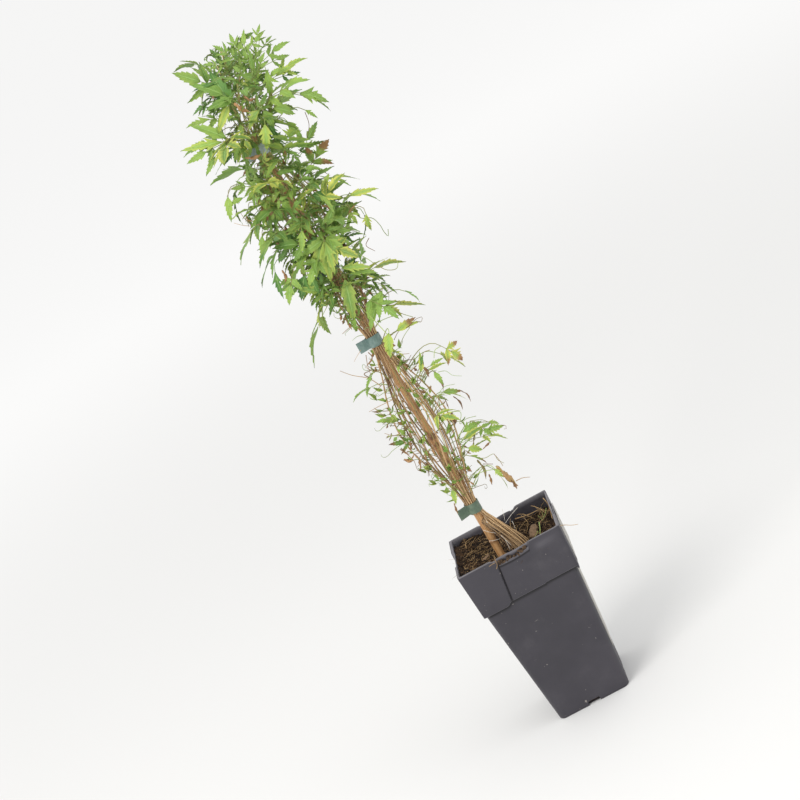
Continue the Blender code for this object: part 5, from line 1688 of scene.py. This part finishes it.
def pot_wall(skin):
    """The pot's wall: a profile carried round the rounded square and closed on itself.

    It goes up the outside, up behind the collar's lower edge and down again, over the outer rim,
    into the slot behind it, over the inner rim, down the inside and back under the wall.
    """
    across = side_places()
    rim, inner_rim = rim_heights(across)
    notch = NOTCH_HEIGHT * (step_up(across, -NOTCH_WIDTH / 2, 0.6 * MM)
                            - step_up(across, NOTCH_WIDTH / 2, 0.6 * MM))
    slot = (step_up(across, FLAP_TOP_EDGE + 0.4 * MM, 0.8 * MM)
            - step_up(across, SCOOP_END - 2 * MM, 1 * MM))
    bottom = collar_bottom(across)
    rows = []

    def row(z, half, corner, wear_and_highlight=0.0, shade=0.0):
        z = np.broadcast_to(z, across.shape)
        # Painted shade: a crease beside the flap's edge and a band under the rolled lip
        crease = bell(across - flap_edge(z) - 1.2 * MM, 1.1 * MM) * ((z > bottom) & (z < rim))
        under = slot * bell(rim - z - 5 * MM, 1.25 * MM, 4)
        scuffed = 0.3 * bell(across - WORN_CORNER[0], 6 * MM) * bell(z - WORN_CORNER[1], 5 * MM)
        rows.append((z, np.broadcast_to(half, across.shape), corner, wear_and_highlight + scuffed,
                     np.maximum(shade, np.maximum(crease, under))))

    def on_collar(z, half, cut=0.0, wear_and_highlight=0.0, shade=0.0):
        row(z, half, COLLAR_CORNER - cut * MM, wear_and_highlight, shade)

    def body(z):
        return body_half(z) + body_bow(across, z)

    def wall(z):
        roll = RIM_ROLL * slot * bell(rim - z - 1.8 * MM, 1.7 * MM, 4)
        return body_half(z) + collar_faces(across, z) + roll

    for turn in BASE_TURNS:
        round_off = BASE_ROUND * (1 - math.sin(turn * math.pi / 2))
        rise = BASE_ROUND * (1 - math.cos(turn * math.pi / 2))
        row(notch + rise, body_half(rise) - round_off, POT_CORNER - round_off)
    start = notch + BASE_ROUND
    for share in np.linspace(0, 1, 14)[1:]:
        z = start + (bottom - 7 * MM - start) * share
        row(z, body(z), POT_CORNER)
    # Painted shade under the collar's lower edge and up behind it
    for drop, shade in SHADED_DROPS:
        z = bottom - drop * MM
        row(z, body(z), POT_CORNER, 0, shade)
    row(bottom + 1 * MM, body(bottom), POT_CORNER, 0, 1)
    row(bottom + UNDERCUT, body(bottom), POT_CORNER, 0, 1)
    on_collar(bottom + UNDERCUT, body(bottom) + 0.4 * MM, 0, 0, 1)
    lip = wall(bottom + 0.6 * MM)
    # The collar's lip: painted shade under it and a painted highlight along its edge
    for rise, back, wear_and_highlight, shade in COLLAR_LIP:
        on_collar(bottom + rise * MM, lip - back * MM, 0, wear_and_highlight, shade)
    for rise in np.arange(0.6, 11, 0.55):
        z = bottom + rise * MM
        on_collar(z, wall(z))
    start = bottom + 11 * MM
    for share in np.linspace(0, 1, 15)[1:]:
        z = start + (rim - 7 * MM - start) * share
        on_collar(z, wall(z))
    # Painted highlight on the upper part of the rolled lip
    for drop in RIM_DROPS:
        z = rim - drop * MM
        on_collar(z, wall(z), 0, 0.4 * slot * (drop < 3.5))
    top = wall(rim)
    inner = body_half(inner_rim) - WALL
    # Painted highlight along the outer rim's edge and the inner rim's edges
    on_collar(rim - 0.3 * MM, top - 0.08 * MM, 0, 0.7)
    on_collar(rim, top - RIM_EDGE, 0, 1)
    outer_lip = top - RIM_EDGE - (RIM_SKIN - RIM_EDGE) * slot
    deep = RIM_SLOT_DEPTH * slot
    on_collar(rim - 0.02 * MM, outer_lip, 0.3, 1)
    on_collar(rim - deep, outer_lip - 0.05 * MM, 0.4)
    inner_lip = np.minimum(outer_lip - 0.1 * MM, inner + WALL - 0.6 * MM)
    inner_lip = np.where(slot > 0.5, inner_lip, outer_lip - 0.1 * MM)
    # Painted shade deep in the slot behind the rim
    on_collar(rim - deep, inner_lip + 0.05 * MM, 0.5, 0, slot)
    on_collar(rim + 1.5 * MM * slot, inner_lip + 0.02 * MM, 0.55, 0, 0.75 * slot)
    on_collar(inner_rim - 2.6 * MM * slot - 0.3 * MM, inner_lip, 0.6, 0.5, 0.3 * slot)
    on_collar(inner_rim - 0.3 * MM, inner_lip, 0.6, 0.7)
    on_collar(inner_rim, inner + 0.45 * MM, 1, 1)
    on_collar(inner_rim - 0.3 * MM, inner + 0.08 * MM, 1, 0.5)
    start = inner_rim - 1 * MM
    for share in INSIDE_SHARES:
        z = start + (notch + FLOOR_THICKNESS - start) * share
        row(z, body_half(z) - WALL, POT_CORNER - WALL)
    row(notch + 0.3 * MM, body_half(0) - WALL, POT_CORNER - WALL)
    heights = np.array([r[0] for r in rows])
    halves = np.array([r[1] for r in rows])
    corners = np.array([r[2] for r in rows])[:, None]
    sides = [square_side(half, corners, turn) for turn, half in enumerate(np.split(halves, 4, axis=1))]
    points = np.concatenate([np.concatenate(sides, axis=1), heights[..., None]], axis=-1)
    tones = np.array([np.stack([r[3], r[4], 0 * across], axis=-1) for r in rows])
    skin.add(points, 0, tones, closed=True)


def floor_quarter(skin, turn):
    """A quarter of the pot's floor: rings from its outline to its drain hole, under and over.

    Each hole point lies on the line from the hole's centre to its outline point.
    """
    half = body_half(0) - WALL
    round_off = POT_CORNER - WALL
    cut = half - 4 * MM
    side = NOTCH_WIDTH / 2
    middle = half - round_off
    arc = [(middle + round_off * math.cos(a), middle + round_off * math.sin(a))
           for a in np.linspace(0, math.pi / 2, 5)]
    outline = np.array([(0, 0), (cut, 0), (cut, side), (half, side)] + arc
                       + [(side, half), (side, cut), (0, cut)])
    follow = np.roll(outline, -1, axis=0)
    shares = np.linspace(0, 1, 3, endpoint=False)[None, :, None]
    outline = (outline[:, None] * (1 - shares) + follow[:, None] * shares).reshape(-1, 2)
    away = outline - DRAIN_RING
    hole = DRAIN_RING + DRAIN_RADIUS * away / np.linalg.norm(away, axis=1, keepdims=True)
    under = 0.02 * MM
    rows = [np.column_stack([quarter(*ring.T, turn), np.full(len(ring), z)]) for ring, z in (
        (outline, under), (outline, FLOOR_THICKNESS), (hole, FLOOR_THICKNESS), (hole, under))]
    rims = np.repeat(np.arange(1, 5)[:, None], len(outline), axis=1)
    skin.add(np.array(rows), rim=rims, closed=True)


def crumble(x, y, seed, shortest, longest, count):
    """A rough field between about -1 and 1: a sum of sine waves in drawn directions."""
    draw = random.Random(seed)
    total = np.zeros_like(x)
    for _ in range(count):
        turn = draw.uniform(0, math.tau)
        length = draw.uniform(shortest, longest)
        phase = draw.uniform(0, math.tau)
        total += np.sin(math.tau * (x * math.cos(turn) + y * math.sin(turn)) / length + phase)
    return total / math.sqrt(count)


def soil_height(x, y):
    """Top of the potting mix: the solid's mounds, banks along the edge, then lumps and crumbs."""
    broad = np.sin(SOIL_WAVES[0] * x + 1.3) * np.cos(SOIL_WAVES[1] * y)
    fine = 0.6 * np.sin(SOIL_WAVES[2] * (x + y))
    half = body_half(SOIL_TOP) - WALL
    edge = np.maximum(np.abs(x), np.abs(y)) / half
    bank = np.interp(x / half, *SOIL_BANKS) * MM * np.clip((edge - 0.5) / 0.5, 0, 1)
    mounds = SOIL_RELIEF * (0.55 * (broad + fine) - 0.4) + bank
    return SOIL_TOP + mounds + sum(relief * crumble(x, y, *waves) for relief, *waves in (LUMPS, CRUMBS))


def soil_body(skin):
    """Potting mix: rings round a rounded square, up its side and then in over its top."""
    turns = np.linspace(0, math.tau, SOIL_SIDES, endpoint=False)
    ring = np.stack([np.cos(turns), np.sin(turns)], axis=-1)
    ring *= (np.abs(ring) ** SOIL_SQUARENESS).sum(axis=1, keepdims=True) ** (-1 / SOIL_SQUARENESS)
    inset = WALL + GAP
    bottom = FLOOR_THICKNESS + GAP
    edge = body_half(SOIL_TOP) - inset
    rows = [(ring * share * (body_half(bottom) - inset), np.full(len(ring), bottom))
            for share in (0.02, 0.5, 1.0)]
    for share in (0.25, 0.5, 0.75, 0.97):
        z = bottom + (SOIL_TOP - bottom) * share
        rows.append((ring * (body_half(z) - inset), np.full(len(ring), z)))
    for share in np.linspace(1, 0, SOIL_RINGS + 1)[:-1]:
        flat = ring * edge * share
        height = soil_height(*flat.T)
        wider = (body_half(height) - body_half(SOIL_TOP)) / edge * share ** 8
        rows.append((flat * (1 + wider[:, None]), height))
    skin.add(np.array([np.column_stack(row) for row in rows]))


def clod(skin, centre, size, tone, draw):
    """A small lump: four five-sided rings along a drawn line, each point moved in or out."""
    path = centre + np.linspace(-0.5, 0.5, 4)[:, None] * unit(scatter(draw, FLATTER)) * size
    rings = round_rings(path, np.array([0.22, 0.5, 0.46, 0.2]) * size, 5)
    skin.add(roughen(path, rings, draws(draw, *CLOD_ROUGH, 4, 5, 1)), MIX_CRUMB, (tone, 0, 0))


def fibre(skin, start, heading, length, radius, slot, tone, draw):
    """A thin crooked strand: a three-sided tube that tapers along a bent line."""
    middle = start + heading * length * 0.5 + scatter(draw, FLATTER) * length * 0.13
    end = start + heading * length - upward(0.1 * length)
    path = smooth_path([start, middle, end], length / 4)
    skin.tube(path, np.linspace(radius, radius * 0.5, len(path)), 3, slot, tone)


def over_soil(x, y, lift=0.0):
    """The point over a place on the potting mix."""
    return np.array([x, y, float(soil_height(np.array([x]), np.array([y]))[0]) + lift])


def on_soil(draw):
    """A drawn place on the potting mix."""
    half = (body_half(SOIL_TOP) - WALL) * 0.92
    return over_soil(draw.uniform(-half, half), draw.uniform(-half, half))


def loose_mix(skin, draw):
    """Crumbs in the slot behind the rim, and crumbs and fibres all over the mix."""
    for _ in range(RIM_CRUMBS):
        across = draw.uniform(FLAP_TOP_EDGE + 2 * MM, SCOOP_END - 5 * MM)
        height = float(rim_heights(np.array([across]))[0][0]) + draw.uniform(-1.5, 3.2) * MM
        place = np.array([across, -body_half(height) + draw.uniform(-0.9, -0.2) * MM, height])
        clod(skin, place, draw.uniform(*RIM_CRUMB_SIZES) * MM, draw.uniform(0.1, 0.75), draw)
    for _ in range(TOP_CRUMBS):
        place = on_soil(draw)
        size = draw.choice(CRUMB_SIZES) * MM * draw.uniform(0.8, 1.2)
        tone = draw.uniform(0, 0.9) ** 2
        clod(skin, place + upward(0.2 * size), size, tone, draw)
    for _ in range(TOP_FIBRES):
        place = on_soil(draw)
        tan = draw.uniform(-0.35, 0.85) + 0.25 * (place[0] < 0)
        heading = unit(ray(draw.uniform(0, math.tau), draw.uniform(-0.05, 0.3)))
        length = draw.uniform(*FIBRE_LENGTHS) * MM
        fibre(skin, place + upward(0.5 * MM), heading, length, draw.uniform(*FIBRE_RADII) * MM,
              MIX_FIBRE, (tan, 0, 0), draw)


def bark_chip(skin, place, length, width, turn, draw):
    """A chip of bark: a rough tube with seven rings, pressed flat and tilted."""
    middle = over_soil(*np.array(place) * MM, 3 * MM)
    steps = len(CHIP_GIRTH)
    path = middle + np.linspace(-0.5, 0.5, steps)[:, None] * ray(turn, 0.18) * length * MM
    rings = round_rings(path, CHIP_GIRTH * width / 2 * MM, steps)
    rings = roughen(path, rings, draws(draw, *CHIP_ROUGH, steps, steps, 1))
    rings[..., 2] = middle[2] + (rings[..., 2] - middle[2]) * 0.2 + (rings[..., 1] - middle[1]) * 0.35
    skin.add(rings, MIX_CRUMB, (1.5, 0, 0))


def mix_details(skin, draw):
    """What lies in the mix: crumbs, fibres, bark, straws, roots and a few green sprouts."""
    loose_mix(skin, draw)
    for chip in BARK_CHIPS:
        bark_chip(skin, *chip, draw)
    for x, y, turn, length, rise in STRAWS:
        fibre(skin, over_soil(x * MM, y * MM), unit(ray(turn, rise)), length * MM, 0.5 * MM,
              MIX_FIBRE, (0.9, 0, 0), draw)
    for spots, forward, slot, radius, tone in SEEN_ON_SOIL:
        points = [seen_point(spot, depth) for spot, depth in zip(spots, forward)]
        strand(skin, points, radius * MM, 0.7 * radius * MM, slot, (tone, 0.4, 0), 4)
    for x, y in SPROUTS:
        for _ in range(3):
            heading = unit(ray(draw.uniform(0, math.tau)) * 0.5 + upward(1.0))
            fibre(skin, over_soil(x * MM, y * MM), heading, draw.uniform(*SPROUT_LENGTHS) * MM,
                  0.55 * MM, MIX_SPROUT, (0.7, 0.3, 0), draw)


def cane_body(skin):
    """Bamboo: rings up the leaning axis, with a ridge and a groove at each joint, hollow on top."""
    heights = [np.linspace(CANE_BOTTOM, CANE_TOP, CANE_ROWS)]
    heights += [joint + np.linspace(-6, 6, 15) * MM for joint in CANE_JOINTS]
    z = np.unique(np.concatenate(heights))
    z = z[(z >= CANE_BOTTOM) & (z <= CANE_TOP)]
    gap = z[:, None] - CANE_JOINTS
    forms = sum(most * bell(gap - at * MM, width * MM).sum(axis=1) for most, at, width in JOINT_FORMS)
    radius = CANE_RADIUS * (CANE_SHARE + forms)
    radius = np.concatenate([radius, [radius[-1] * share for share, _ in CANE_END]])
    z = np.concatenate([z, [CANE_TOP - depth for _, depth in CANE_END]])
    axis = np.array([cane_axis(height) for height in z])
    turn = np.linspace(0, math.tau, CANE_SIDES, endpoint=False)
    spokes = np.stack([np.cos(turn), np.sin(turn), 0 * turn], axis=-1)
    near = np.abs(z[:, None] - CANE_JOINTS).min(axis=1)
    tone = np.stack([bell(near, 3 * MM), 0 * z, 0 * z], axis=1)
    skin.add(axis[:, None] + radius[:, None, None] * spokes, 0, tone, z)


def tape_band(skin, number, draw):
    """A tape tie: a band section carried in along one side of the flag, round the stems and out.

    The band waves up and down a little, and its flag is two layers pressed together.
    """
    radius = RING_RADIUS + STEM_RADIUS_FOOT + STEM_CLEAR + 0.3 * MM
    flag = math.radians(TIE_FLAG_TURN[number])
    out = ray(flag)[:2]
    side = np.array([-out[1], out[0]])
    legs = np.linspace(radius + TIE_FLAG, radius + 1.2 * MM, FLAG_ROWS)[:, None]
    curl = np.linspace(1, 0, FLAG_ROWS)[:, None] ** 2 * draw.uniform(-FLAG_CURL, FLAG_CURL)
    leg_in = out * legs + side * (curl + FLAG_HALF_GAP)
    leg_out = (out * legs + side * (curl - FLAG_HALF_GAP))[::-1]
    sweep = np.linspace(flag + 0.12, flag + math.tau - 0.12, 56)
    wrap = radius + 0.14 * MM * np.sin(STEM_COUNT * sweep + 1.0)
    arc = np.stack([wrap * np.cos(sweep), wrap * np.sin(sweep)], axis=1)
    flat = np.concatenate([leg_in, arc, leg_out])
    rows = len(flat)
    wave = np.sin(np.linspace(0, 9, rows) + draw.uniform(0, 6)) * 0.35 * MM
    path = np.column_stack([flat, wave]) + cane_axis(TIE_HEIGHTS[number])
    tangent = np.gradient(path, axis=0)
    tangent[:, 2] = 0
    tangent /= np.linalg.norm(tangent, axis=1, keepdims=True)
    inward = np.stack([-tangent[:, 1], tangent[:, 0], 0 * tangent[:, 0]], axis=1)
    height = TIE_BAND / 2 * (1 - 0.03 * np.sin(np.linspace(0, 14, rows)))
    rings = np.stack([path + inward * (u * TAPE_HALF_THICKNESS) + upward(1.0) * (v * height)[:, None]
                      for u, v in TAPE_SECTION], axis=1)
    skin.add(rings, across=np.array([v for _, v in TAPE_SECTION]) / 2 + 0.5, rim=TAPE_RIMS)


def label_sheet(skin):
    """Bare label: a thin sheet that lies on the right side's faces and bridges the collar's edge."""
    heights = LABEL_HEIGHTS
    near = np.minimum(np.minimum(heights - LABEL_BOTTOM, LABEL_TOP - heights), LABEL_CORNER)
    half = LABEL_WIDTH / 2 - LABEL_CORNER + np.sqrt(np.maximum(
        LABEL_CORNER ** 2 - (LABEL_CORNER - near) ** 2, 0))
    y = half[:, None] * np.linspace(-1, 1, LABEL_COLUMNS)
    z = np.broadcast_to(heights[:, None], y.shape)
    stand = collar_half(z) - body_half(z) + LABEL_FILM
    bridge = stand * step_up(z, FLAP_BOTTOM - 2 * MM, 10 * MM)
    lie = body_half(z) + np.where(z > FACE_BOTTOM, np.maximum(collar_faces(y, z), bridge), bridge)
    lie = lie + body_bow(y, z) * (z < FLAP_BOTTOM) + GAP
    ripple = LABEL_RIPPLE * (crumble(y, z, 9, 14 * MM, 40 * MM, 8) + 1.2)
    outer = np.stack([lie + LABEL_FILM + ripple, y, z], axis=-1)
    inner = np.stack([lie, y, z], axis=-1)[:, ::-1]
    rims = np.zeros(2 * LABEL_COLUMNS, int)
    rims[[0, LABEL_COLUMNS - 1, LABEL_COLUMNS, -1]] = (1, 2, 3, 4)
    skin.add(np.concatenate([outer, inner], axis=1), rim=rims)


def stem_beside(point):
    """The stem that a seen piece belongs to."""
    return nearest_stem(point, float(np.clip(point[2], *FOLIAGE_SPAN)))


def seen_leaves(draw):
    """The leaves that stand out in the photograph, with the side that is seen turned to the eye."""
    leaves = []
    turn = math.radians(CAMERA_AZIMUTH)
    for spot, tip_spot, forward, pairs, width, tone in SEEN_LEAVES:
        base = seen_point(spot, forward)
        tip = seen_point(tip_spot, forward + draw.uniform(-6, 8))
        level = float(np.clip(base[2] - draw.uniform(8, 22) * MM, *FOLIAGE_SPAN))
        leaf = make_leaf(nearest_stem(base, level), level, base, tip, pairs, width, 0)
        facing = np.array([math.sin(turn), -math.cos(turn), draw.uniform(0.25, 0.9)])
        facing[0] += draw.uniform(-0.35, 0.35)
        facing -= leaf["direction"] * float(facing @ leaf["direction"])
        leaves.append(dict(leaf, normal=unit(facing), tone=np.array(tone)))
    return leaves


def strand(skin, points, thick, thin, slot, tone, sides=5):
    """A stalk, tendril or dry twig: a tapering tube through its points."""
    path = smooth_path(points, 2.5 * MM)
    skin.tube(path, np.linspace(thick, thin, len(path)), sides, slot, tone)


def shrivelled(skin, points, radius, tone, draw):
    """A dead rolled leaf: a flattened tube that swells, twists and is rough all along."""
    path = smooth_path(points, 1.6 * MM)
    share = np.linspace(0, 1, len(path))
    turn = np.linspace(0, math.tau, 8, endpoint=False)
    swell = radius * (0.25 + np.sin(np.pi * share ** 0.8) ** 0.8)
    flat = 0.62 + 0.38 * np.cos(2 * (turn - 5 * share[:, None]))
    rough = draws(draw, *DEAD_ROUGH, len(path), len(turn)) * flat
    skin.add(roughen(path, round_rings(path, swell, len(turn)), rough[..., None]), LEAF, tone)


def curl_path(start, heading, length, coils, draw):
    """Points of a tendril: out along its heading, drooping, and then coiled up at the end."""
    side = unit(np.cross(heading, upward(1.0)) + 1e-6)
    up = np.cross(side, heading)
    points = [start]
    bend = draw.uniform(-0.2, 0.25)
    for share in (0.3, 0.6, 0.85):
        points.append(start + heading * length * share + up * length * bend * share * (1 - share) * 2
                      - upward(0.12 * length * share ** 2))
    hub = points[-1]
    radius = length * 0.13
    for step in range(int(coils * 6)):
        angle = step * math.pi / 3
        shrink = 1 - 0.09 * step
        points.append(hub + heading * (radius * shrink * math.sin(angle) + 0.08 * length)
                      + up * radius * (1 - math.cos(angle) * shrink) * math.copysign(1, bend))
    return points


def tendril(skin, start, heading, bright, draw):
    """A green tendril, curled up at its end or not, and brown here and there."""
    length = draw.uniform(*TENDRIL_LENGTHS) * MM
    points = curl_path(start, heading, length, draw.choice(TENDRIL_COILS), draw)
    strand(skin, points, 0.42 * MM, 0.24 * MM, STALK, (bright, 0.4, draw.choice((0, 0, 0.8))))


def twig(skin, start, heading, bright, draw):
    """A dry, bent twig."""
    length = draw.uniform(*TWIG_LENGTHS) * MM
    middle = start + heading * length * 0.5 + scatter(draw) * length * 0.12
    strand(skin, [start, middle, start + heading * length], 0.6 * MM, 0.3 * MM, WOOD,
           (draw.uniform(0.3, 1), 0, 0))


def dead_leaf(skin, start, heading, bright, draw):
    """A dead rolled leaf that hangs from a dry stalk."""
    length = draw.uniform(*DEAD_LENGTHS) * MM
    drop = upward(-length * draw.uniform(0.2, 0.7))
    middle = start + heading * length * 0.5 + drop * 0.1
    end = start + heading * length * 0.8 + drop
    strand(skin, [start, start + heading * length * 0.2, middle], 0.4 * MM, 0.35 * MM, STALK, (0, 0, 1))
    shrivelled(skin, [middle, (middle + end) / 2 + drop * 0.15, end], draw.uniform(*DEAD_RADII) * MM,
               (bright, 0, draw.uniform(0.7, 1)), draw)


def sprout(skin, start, heading, bright, draw):
    """A young shoot: a short stalk that carries two to five small plain leaflets."""
    length = draw.uniform(*SHOOT_LENGTHS) * MM
    end = start + heading * length
    strand(skin, [start, (start + end) / 2 + upward(0.1 * length), end], 0.4 * MM, 0.3 * MM, STALK,
           (draw.uniform(0.3, 1), 0.2, 0), 4)
    for _ in range(draw.choice(SHOOT_LEAFLETS)):
        turn = draw.uniform(0, math.tau)
        aim = unit(heading + 0.9 * ray(turn, draw.uniform(-0.4, 1.0)))
        normal = np.cross(aim, np.array([math.sin(turn), -math.cos(turn), 0.4]))
        leaf = {"base": end - aim * 1.0 * MM, "direction": aim, "normal": unit(normal),
                "length": draw.uniform(*SHOOT_LEAF_LENGTHS) * MM}
        tone = (draw.uniform(0.55, 1), draw.uniform(0, 0.6), 0.7 if draw.random() < 0.08 else 0)
        leaflet(skin, leaf, 0, 0, leaf["length"], leaf["length"] * draw.uniform(*SHOOT_LEAF_WIDTHS),
                tone, draw, PLAIN_OUTLINE)


def wild_growth(skin, number, draw):
    """Tendrils, dead curled leaves, dry twigs and small sprouts all round a stem."""
    grow = {"tendril": tendril, "twig": twig, "dead": dead_leaf, "sprout": sprout}
    for low, high, kinds in WILD_BANDS:
        for kind in kinds:
            level = draw.uniform(low, high) * MM
            if level > HABITS[number]["top"] - 10 * MM or by_tie(level):
                continue
            start = on_stem(number, level)
            turn = bearing(start) + draw.uniform(-0.9, 0.9)
            heading = unit(ray(turn, draw.uniform(-0.5, 0.9)))
            grow[kind](skin, start, heading, draw.uniform(0.2, 0.9), draw)


def straight_foot(path, number):
    """Draws a stem's path from its place in the crown to the first tie, round the cane.

    The crown is spread out a little, and stems from the cane's left side pass behind it.
    """
    lows = np.array([on_stem(n, SOIL_TOP + LOW_RINGS[0] * MM) for n in range(STEM_COUNT)])
    crown = lows.mean(axis=0)
    low = crown + (lows[number] - crown) * CROWN_WIDER
    high = on_stem(number, TIE_HEIGHTS[0] - TIE_BAND / 2)
    share = np.clip((path[:, 2] - low[2]) / (high[2] - low[2]), 0, 1) ** FOOT_LEAN
    chord = low + (high - low) * share[:, None]
    axis = np.array([cane_axis(z) for z in chord[:, 2]])
    if high[0] < axis[-1][0] + 2 * MM:
        chord[:, 1] += BEHIND_CANE * bell(share - BEHIND_AT, BEHIND_WIDTH)
    away = (chord - axis)[:, :2]
    reach = np.linalg.norm(away, axis=1, keepdims=True)
    room = CANE_RADIUS + STEM_RADIUS_FOOT * 0.8
    clear = np.sqrt(reach ** 2 + room ** 2 * bell(reach, room))
    foot = np.column_stack([axis[:, :2] + away / reach * clear, path[:, 2]])
    return np.where(path[:, 2:] < high[2], foot, path)


def thin_stem(skin, number, draw):
    """A thin stem that runs between two thick ones, swaying out and in from tie to tie."""
    share = draw.uniform(0.3, 0.7)
    other = (number + draw.choice((1, 1, 2))) % STEM_COUNT
    top = min(HABITS[number]["top"], HABITS[other]["top"], draw.uniform(*THIN_TOPS))
    ties = [SOIL_TOP, *TIE_HEIGHTS, OVER_TOP]
    pull = draw.uniform(-0.35, 0.12)
    waves = draw.uniform(1, 4)
    phase = draw.uniform(0, math.tau)
    points = []
    for level in np.arange(SOIL_TOP + 2 * MM, top, 9 * MM):
        low = max(t for t in ties if t <= level)
        high = min(t for t in ties if t > level)
        turn = math.pi * (level - low) / (high - low)
        free = math.sin(turn)
        axis = cane_axis(level)
        away = on_stem(number, level) * (1 - share) + on_stem(other, level) * share - axis
        sway = THIN_SWAY * free * math.sin(waves * turn + phase)
        points.append(axis + away * (1 + pull * free) + sway * unit(np.array([-away[1], away[0], 0])))
    path = straight_foot(smooth_path(points, PATH_STEP), number)
    radius = draw.uniform(*THIN_RADII) * MM
    rows = len(path)
    rough = draws(draw, 0.85, 1.15, rows)
    green = draw.choice(THIN_GREENS) * step_up(path[:, 2], 0.33, 0.12)
    # Darkness of the thin stem: partly its own bark, partly painted shade for the gaps in the bundle
    tone = np.stack([np.full(rows, draw.choice(THIN_TONES_WITH_SHADE)), green, 0 * green], axis=1)
    skin.tube(path, np.linspace(radius, radius * 0.6, rows) * rough, 5, WOOD, tone,
              path[:, 2] / (100 * MM))


def seen_details(skins, draw):
    """The stalks, tendrils, twigs and dead curled leaves that stand out in the photograph."""
    for spots, forward, thick, thin, slot, tone in SEEN_STRANDS:
        points = [seen_point(spot, forward) for spot in spots]
        strand(skins[stem_beside(points[0])], points, thick * MM, thin * MM, slot, tone)
    for spots, forward, radius, tone in SEEN_DEAD:
        points = [seen_point(spot, forward) for spot in spots]
        shrivelled(skins[stem_beside(points[0])], points, radius * MM, tone, draw)


def settle(skin, name, finishes, node):
    """The skin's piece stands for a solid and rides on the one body."""
    piece = skin.piece(name, finishes)
    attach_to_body(piece, "root")
    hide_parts(node)


def dress_pot():
    """The pot's wall and floor, its label and the potting mix."""
    skin = Skin()
    pot_wall(skin)
    for turn in range(4):
        floor_quarter(skin, turn)
    settle(skin, "pot_shell", (plastic_finish(),), "pot")
    skin = Skin()
    label_sheet(skin)
    settle(skin, "label_sheet", (label_finish(),), "label")
    skin = Skin()
    soil_body(skin)
    mix_details(skin, random.Random(MIX_SEED))
    finishes = (soil_finish(), crumb_finish(), fibre_finish(), root_finish(), stalk_finish())
    settle(skin, "potting_mix_bed", finishes, "soil")


def dress_support():
    """The cane and its four tape ties."""
    skin = Skin()
    cane_body(skin)
    settle(skin, "bamboo_cane", (cane_finish(),), "cane")
    draw = random.Random(TAPE_SEED)
    for number, colours in enumerate(TAPE_COLOURS):
        skin = Skin()
        tape_band(skin, number, draw)
        name = f"tie_{number + 1}"
        settle(skin, f"tape_{name}", (tape_finish(*colours),), name)


def dress_stems():
    """Each stem's solid is replaced by a fine stem with its own leaves and small leaves."""
    finishes = (stem_finish(), stalk_finish(), leaf_finish())
    draw = random.Random(FINE_SEED)
    main_leaves = plan_leaves() + seen_leaves(draw)
    leaves = main_leaves + fill_leaves(draw, main_leaves)
    skins = [Skin() for _ in range(STEM_COUNT)]
    seen_details(skins, draw)
    for number, skin in enumerate(skins):
        fine_stem(skin, number, draw)
        if number % 2 == 0:
            thin_stem(skin, number, draw)
        wild_growth(skin, number, draw)
        for leaf in leaves:
            if leaf["stem"] == number:
                fine_leaf(skin, leaf, leaf["tone"] if "tone" in leaf else leaf_tone(leaf, draw), draw)
        name = f"stem_{number + 1:02d}"
        settle(skin, f"leafy_{name}", finishes, name)


def put(name, data):
    """A new object in the scene."""
    made = bpy.data.objects.new(name, data)
    bpy.context.scene.collection.objects.link(made)
    return made


def studio():
    """The camera of the photograph's view, a wide pale floor and soft light."""
    lens = bpy.data.cameras.new("camera")
    lens.lens = CAMERA_LENS
    lens.clip_end = 100
    camera = put("camera", lens)
    turn = Matrix(camera_axes()).transposed().to_4x4()
    camera.matrix_world = Matrix.Translation(CAMERA_PLACE) @ turn
    bpy.context.scene.camera = camera

    mesh = bpy.data.meshes.new("floor")
    corners = [(x * FLOOR_REACH, y * FLOOR_REACH, 0) for x, y in ((-1, -1), (1, -1), (1, 1), (-1, 1))]
    mesh.from_pydata(corners, [], [(0, 1, 2, 3)])
    floor = put("floor", mesh)
    mat = Recipe("floor_pale")
    away = mat.tree.nodes.new("ShaderNodeVectorMath")
    away.operation = "LENGTH"
    mat.join(mat.place, away.inputs[0])
    far = mat.between(away.outputs["Value"], *FLOOR_FADE)
    mesh.materials.append(mat.finish(mat.mix(far, FLOOR_NEAR, FLOOR_FAR), 0.9, specular=0.0))

    world = bpy.data.worlds.new("studio")
    world.use_nodes = True
    background = world.node_tree.nodes["Background"].inputs
    background["Color"].default_value = WORLD_COLOUR
    background["Strength"].default_value = WORLD_STRENGTH
    bpy.context.scene.world = world
    for name, place, size, power, tint in STUDIO_LIGHTS:
        lamp = bpy.data.lights.new(name, "AREA")
        lamp.size = size
        lamp.energy = power
        lamp.color = tint
        aim = (Vector(LIGHT_TARGET) - Vector(place)).to_track_quat("-Z", "Y")
        put(name, lamp).matrix_world = Matrix.Translation(place) @ aim.to_matrix().to_4x4()
    bpy.context.scene.view_settings.view_transform = "Standard"


def main():
    dress_pot()
    dress_support()
    dress_stems()
    studio()


main()
